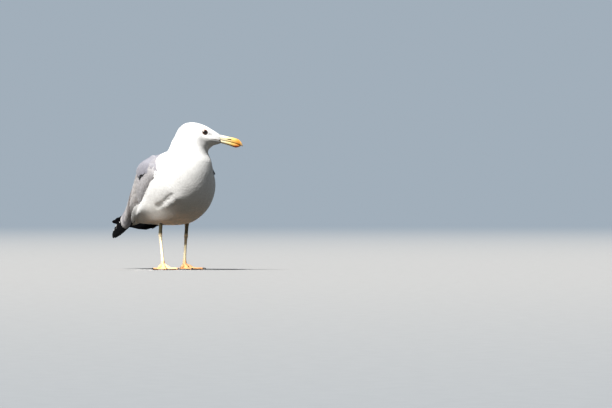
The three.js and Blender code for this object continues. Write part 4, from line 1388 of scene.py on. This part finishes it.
def make_eye(side):
    """A ball with a dark brown iris and black pupil, and the bare ring of lids round it."""
    eye = EYES[side]
    polar = np.linspace(0.01, math.pi - 0.01, 64)[:, None]
    turn = np.linspace(0, 2 * math.pi, 64, endpoint=False)[None, :]
    off = EYE_RADIUS * np.sin(polar)
    high = EYE_RADIUS * np.cos(polar)

    def place(x, y, out):
        shape = np.broadcast(x, y, out).shape
        x, y, out = (np.broadcast_to(v, shape)[..., None] for v in (x, y, out))
        return eye.centre + eye.ahead * x + eye.up * y + eye.out * out

    ball = loft(f"eyeball_{side}", place(off * np.cos(turn), off * np.sin(turn), high))
    flat = np.broadcast_to(off, (64, 64))
    iris = mix(rgb("553720"), rgb("2a190f"), smooth(3.4, 5.2, flat)[..., None])
    streaks = 0.85 + 0.15 * np.sin(turn * 23 + np.sin(turn * 7) * 2)
    iris = iris * np.broadcast_to(streaks, flat.shape)[..., None]
    colour = mix(rgb("050404"), iris, smooth(2.7, 3.0, flat)[..., None])
    front = np.where((polar < 1.3)[..., None], colour, rgb("2a1b12"))
    paint(ball, np.concatenate([front.reshape(-1, 3), front[0, :1], front[-1, :1]]))
    finished(ball, EYE_GLOSS, "eye", f"eye_{side}")

    turn = np.linspace(0, 2 * math.pi, 96, endpoint=False)[:, None]
    reach = np.array((-0.1, -0.25, 0.05, 0.35, 0.7, 1.1, 1.6, 2.0, 1.0))[None, :]
    rise = np.array((-0.5, 0.15, 0.45, 0.6, 0.6, 0.5, 0.2, -0.6, -0.9))[None, :]
    half_x, half_y = EYE_OPENING[0] + reach, EYE_OPENING[1] + reach
    x, y = half_x * np.cos(turn), half_y * np.sin(turn)
    flatter = 0.12 * np.abs(np.sin(turn)) * smooth(1.6, 0.4, reach)
    y = np.where(y > 0, y * (1 - flatter), y) - 0.05 * x
    brow = 0.3 * np.clip(np.sin(turn), 0, 1)
    out = np.sqrt(np.maximum(EYE_RADIUS ** 2 - x ** 2 - y ** 2, 4.0)) + rise + brow
    lids = np.asarray(place(x, y, out))
    ring_faces = lids.shape[:2]
    obj = closed_ring(f"lids_{side}", lids)
    inner = np.broadcast_to(smooth(0.0, 0.9, reach), ring_faces)[..., None]
    tone = mix(rgb("1a0f0b"), rgb("a0705c"), inner)
    paint(obj, tone.reshape(-1, 3))
    finished(obj, LID_SKIN, "leg_skin")


def closed_ring(name, rings):
    """A closed band through rings that join end to start."""
    rows, columns = rings.shape[:2]
    r, c = np.meshgrid(np.arange(rows), np.arange(columns), indexing="ij")
    a, b = r * columns + c, r * columns + (c + 1) % columns
    e, f = ((r + 1) % rows) * columns + c, ((r + 1) % rows) * columns + (c + 1) % columns
    faces = np.stack([a, b, f, a, f, e], -1).reshape(-1, 3)
    verts = rings.reshape(-1, 3)
    obj = mesh_object(name, verts, faces)
    if signed_volume(verts, faces) < 0:
        obj.data.flip_normals()
    return obj


def make_claws():
    for side, leg in LEGS.items():
        for toe, toe_name in enumerate(TOES):
            heading = math.radians(leg["toes"][toe])
            base = toe_point(leg, toe, 1)
            along = np.array((math.cos(heading), math.sin(heading), 0))
            points = [base * (1, 1, 0) + along * d + (0, 0, z)
                      for d, z in ((-1.4, 2.4), (1.5, 2.9), (4.2, 2.9), (6.4, 2.0), (8.0, 0.9))]
            radii = ((1.8, 1.7), (1.55, 1.6), (1.15, 1.25), (0.7, 0.75), (0.18, 0.2))
            claw = loft(f"nail_{side}_{toe_name}", tube_rings(points, radii, 18, 8))
            shade = smooth(-1, 8, (points_of(claw) - base) @ along)[:, None]
            paint(claw, mix(rgb("4a3d33"), rgb("16120f"), shade))
            finished(claw, CLAW_HORN, "claw_horn", f"claw_{side}_{toe_name}")


# ---------------------------------------------------------------- floor, light and camera
BACKDROP = (0.33, 0.385, 0.44)
FLOOR_RADIUS = 40000.0
TOWARDS = np.array((math.sin(VIEW), -math.cos(VIEW), 0.0))  # from the bird to the camera
RIGHT = np.array((math.cos(VIEW), math.sin(VIEW), 0.0))  # along the picture
UP = np.array((0.0, 0.0, 1.0))


def floor_material():
    """Pale and matt near the bird, fading far off into the backdrop's own light."""
    look, link, shader, node = new_material("pale_floor")
    grain = ramp(link, node, noise_of(link, node, 40, 4.0), ((0.3, 0.27), (0.7, 0.29)))
    link(grain, shader.inputs["Base Color"])
    shader.inputs["Roughness"].default_value = 0.9
    shader.inputs["Specular IOR Level"].default_value = 0.1
    glow = node("ShaderNodeEmission")
    glow.inputs["Color"].default_value = (*BACKDROP, 1)
    place = node("ShaderNodeTexCoord")
    reach = node("ShaderNodeVectorMath", operation="LENGTH")
    link(place.outputs["Object"], reach.inputs[0])
    far = node("ShaderNodeMapRange", interpolation_type="SMOOTHSTEP")
    far.inputs["From Min"].default_value = 1.0
    far.inputs["From Max"].default_value = 22.0
    link(reach.outputs["Value"], far.inputs["Value"])
    blend = node("ShaderNodeMixShader")
    link(far.outputs["Result"], blend.inputs["Fac"])
    link(shader.outputs["BSDF"], blend.inputs[1])
    link(glow.outputs["Emission"], blend.inputs[2])
    output = next(n for n in look.node_tree.nodes if n.type == "OUTPUT_MATERIAL")
    link(blend.outputs["Shader"], output.inputs["Surface"])
    return look


def backdrop_material():
    look, link, shader, node = new_material("pale_backdrop")
    glow = node("ShaderNodeEmission")
    glow.inputs["Color"].default_value = (*BACKDROP, 1)
    output = next(n for n in look.node_tree.nodes if n.type == "OUTPUT_MATERIAL")
    link(glow.outputs["Emission"], output.inputs["Surface"])
    return look


def revolved(name, profile):
    """A surface of revolution about the upright through the feet, from (radius, height) pairs."""
    turn = np.linspace(0, 2 * math.pi, 96, endpoint=False)[None, :]
    radius, height = np.array(profile).T[..., None]
    grid = np.stack([radius * np.cos(turn), radius * np.sin(turn), height + 0 * turn], -1)
    rows, columns = grid.shape[:2]
    r, c = np.meshgrid(np.arange(rows - 1), np.arange(columns), indexing="ij")
    a, b = r * columns + c, r * columns + (c + 1) % columns
    quads = np.stack([a, a + columns, b + columns, b], -1).reshape(-1, 4)
    obj = mesh_object(name, grid.reshape(-1, 3), quads)
    return obj


def make_floor():
    """A round pale floor and a far backdrop; neither throws light on the bird or shades it."""
    floor = revolved("floor", ((1, -0.05), (500, -0.05), (2000, -0.05), (8000, -0.05), (FLOOR_RADIUS, -0.05)))
    floor.data.materials.append(floor_material())
    dome = revolved("backdrop", ((FLOOR_RADIUS, -100), (FLOOR_RADIUS, 20000), (20000, 36000), (100, 40000)))
    dome.data.materials.append(backdrop_material())
    for obj in (floor, dome):
        obj.visible_diffuse = False
        obj.visible_shadow = False


def look_along(obj, place, target):
    obj.location = Vector(place)
    obj.rotation_euler = (Vector(target) - Vector(place)).to_track_quat("-Z", "Y").to_euler()


SPOT_POWER = 300.0  # of the low lamp on the left foot, which the belly would leave in the dark
SPOT_ANGLE = 4.4
SPOT_FROM = -0.55 * RIGHT + 0.65 * TOWARDS + 0.52 * UP


def make_light():
    lamp = bpy.data.lights.new("key", "SUN")
    lamp.energy, lamp.angle, lamp.color = 7.1, math.radians(8), (1.0, 0.98, 0.95)
    key = bpy.data.objects.new("key", lamp)
    bpy.context.scene.collection.objects.link(key)
    look_along(key, -0.30 * RIGHT + 0.42 * TOWARDS + 0.86 * UP, (0, 0, 0))
    low = bpy.data.lights.new("low_spot", "SPOT")
    low.energy, low.color = SPOT_POWER, (1.0, 0.97, 0.92)
    low.spot_size, low.spot_blend, low.shadow_soft_size = math.radians(SPOT_ANGLE), 1.0, 0.05
    spot = bpy.data.objects.new("low_spot", low)
    bpy.context.scene.collection.objects.link(spot)
    foot = 36 * RIGHT - 32 * TOWARDS - 8 * UP
    look_along(spot, metres(foot + 1500 * unit(SPOT_FROM)), metres(foot))
    world = bpy.data.worlds.new("studio")
    world.use_nodes = True
    tree = world.node_tree
    back = tree.nodes["Background"]
    place = tree.nodes.new("ShaderNodeTexCoord")
    parts = tree.nodes.new("ShaderNodeSeparateXYZ")
    tree.links.new(place.outputs["Generated"], parts.inputs["Vector"])
    blend = tree.nodes.new("ShaderNodeValToRGB")
    blend.color_ramp.elements[0].position = 0.47
    blend.color_ramp.elements[0].color = (0.29, 0.25, 0.19, 1)
    blend.color_ramp.elements[1].position = 0.5
    blend.color_ramp.elements[1].color = (0.46, 0.54, 0.62, 1)
    half = tree.nodes.new("ShaderNodeMath")
    half.operation = "MULTIPLY_ADD"
    half.inputs[1].default_value = 0.5
    half.inputs[2].default_value = 0.5
    tree.links.new(parts.outputs["Z"], half.inputs[0])
    tree.links.new(half.outputs[0], blend.inputs["Fac"])
    tree.links.new(blend.outputs["Color"], back.inputs["Color"])
    back.inputs["Strength"].default_value = 0.38
    bpy.context.scene.world = world
    bpy.context.scene.view_settings.view_transform = "Standard"
    bpy.context.scene.view_settings.look = "Medium High Contrast"


CAMERA_DISTANCE = 15000.0
CAMERA_HEIGHT = 165.0
AIM = (291.5, 145.0)  # along the picture from the feet, and height, of the picture's middle


def make_camera():
    data = bpy.data.cameras.new("camera")
    data.sensor_width, data.lens = 36.0, 400.0
    data.clip_end = 200.0
    camera = bpy.data.objects.new("camera", data)
    bpy.context.scene.collection.objects.link(camera)
    target = RIGHT * AIM[0] + UP * AIM[1]
    place = RIGHT * AIM[0] + TOWARDS * CAMERA_DISTANCE + UP * CAMERA_HEIGHT
    look_along(camera, metres(place), metres(target))
    bpy.context.scene.camera = camera


make_camera()
make_light()
make_floor()
make_skin()
body_feathers()
for wing_side in ("left", "right"):
    wing_feathers(wing_side)
    make_eye(wing_side)
tail_feathers()
scapulars()
flank_overlap()
thigh_feathers()
make_bill()
make_claws()
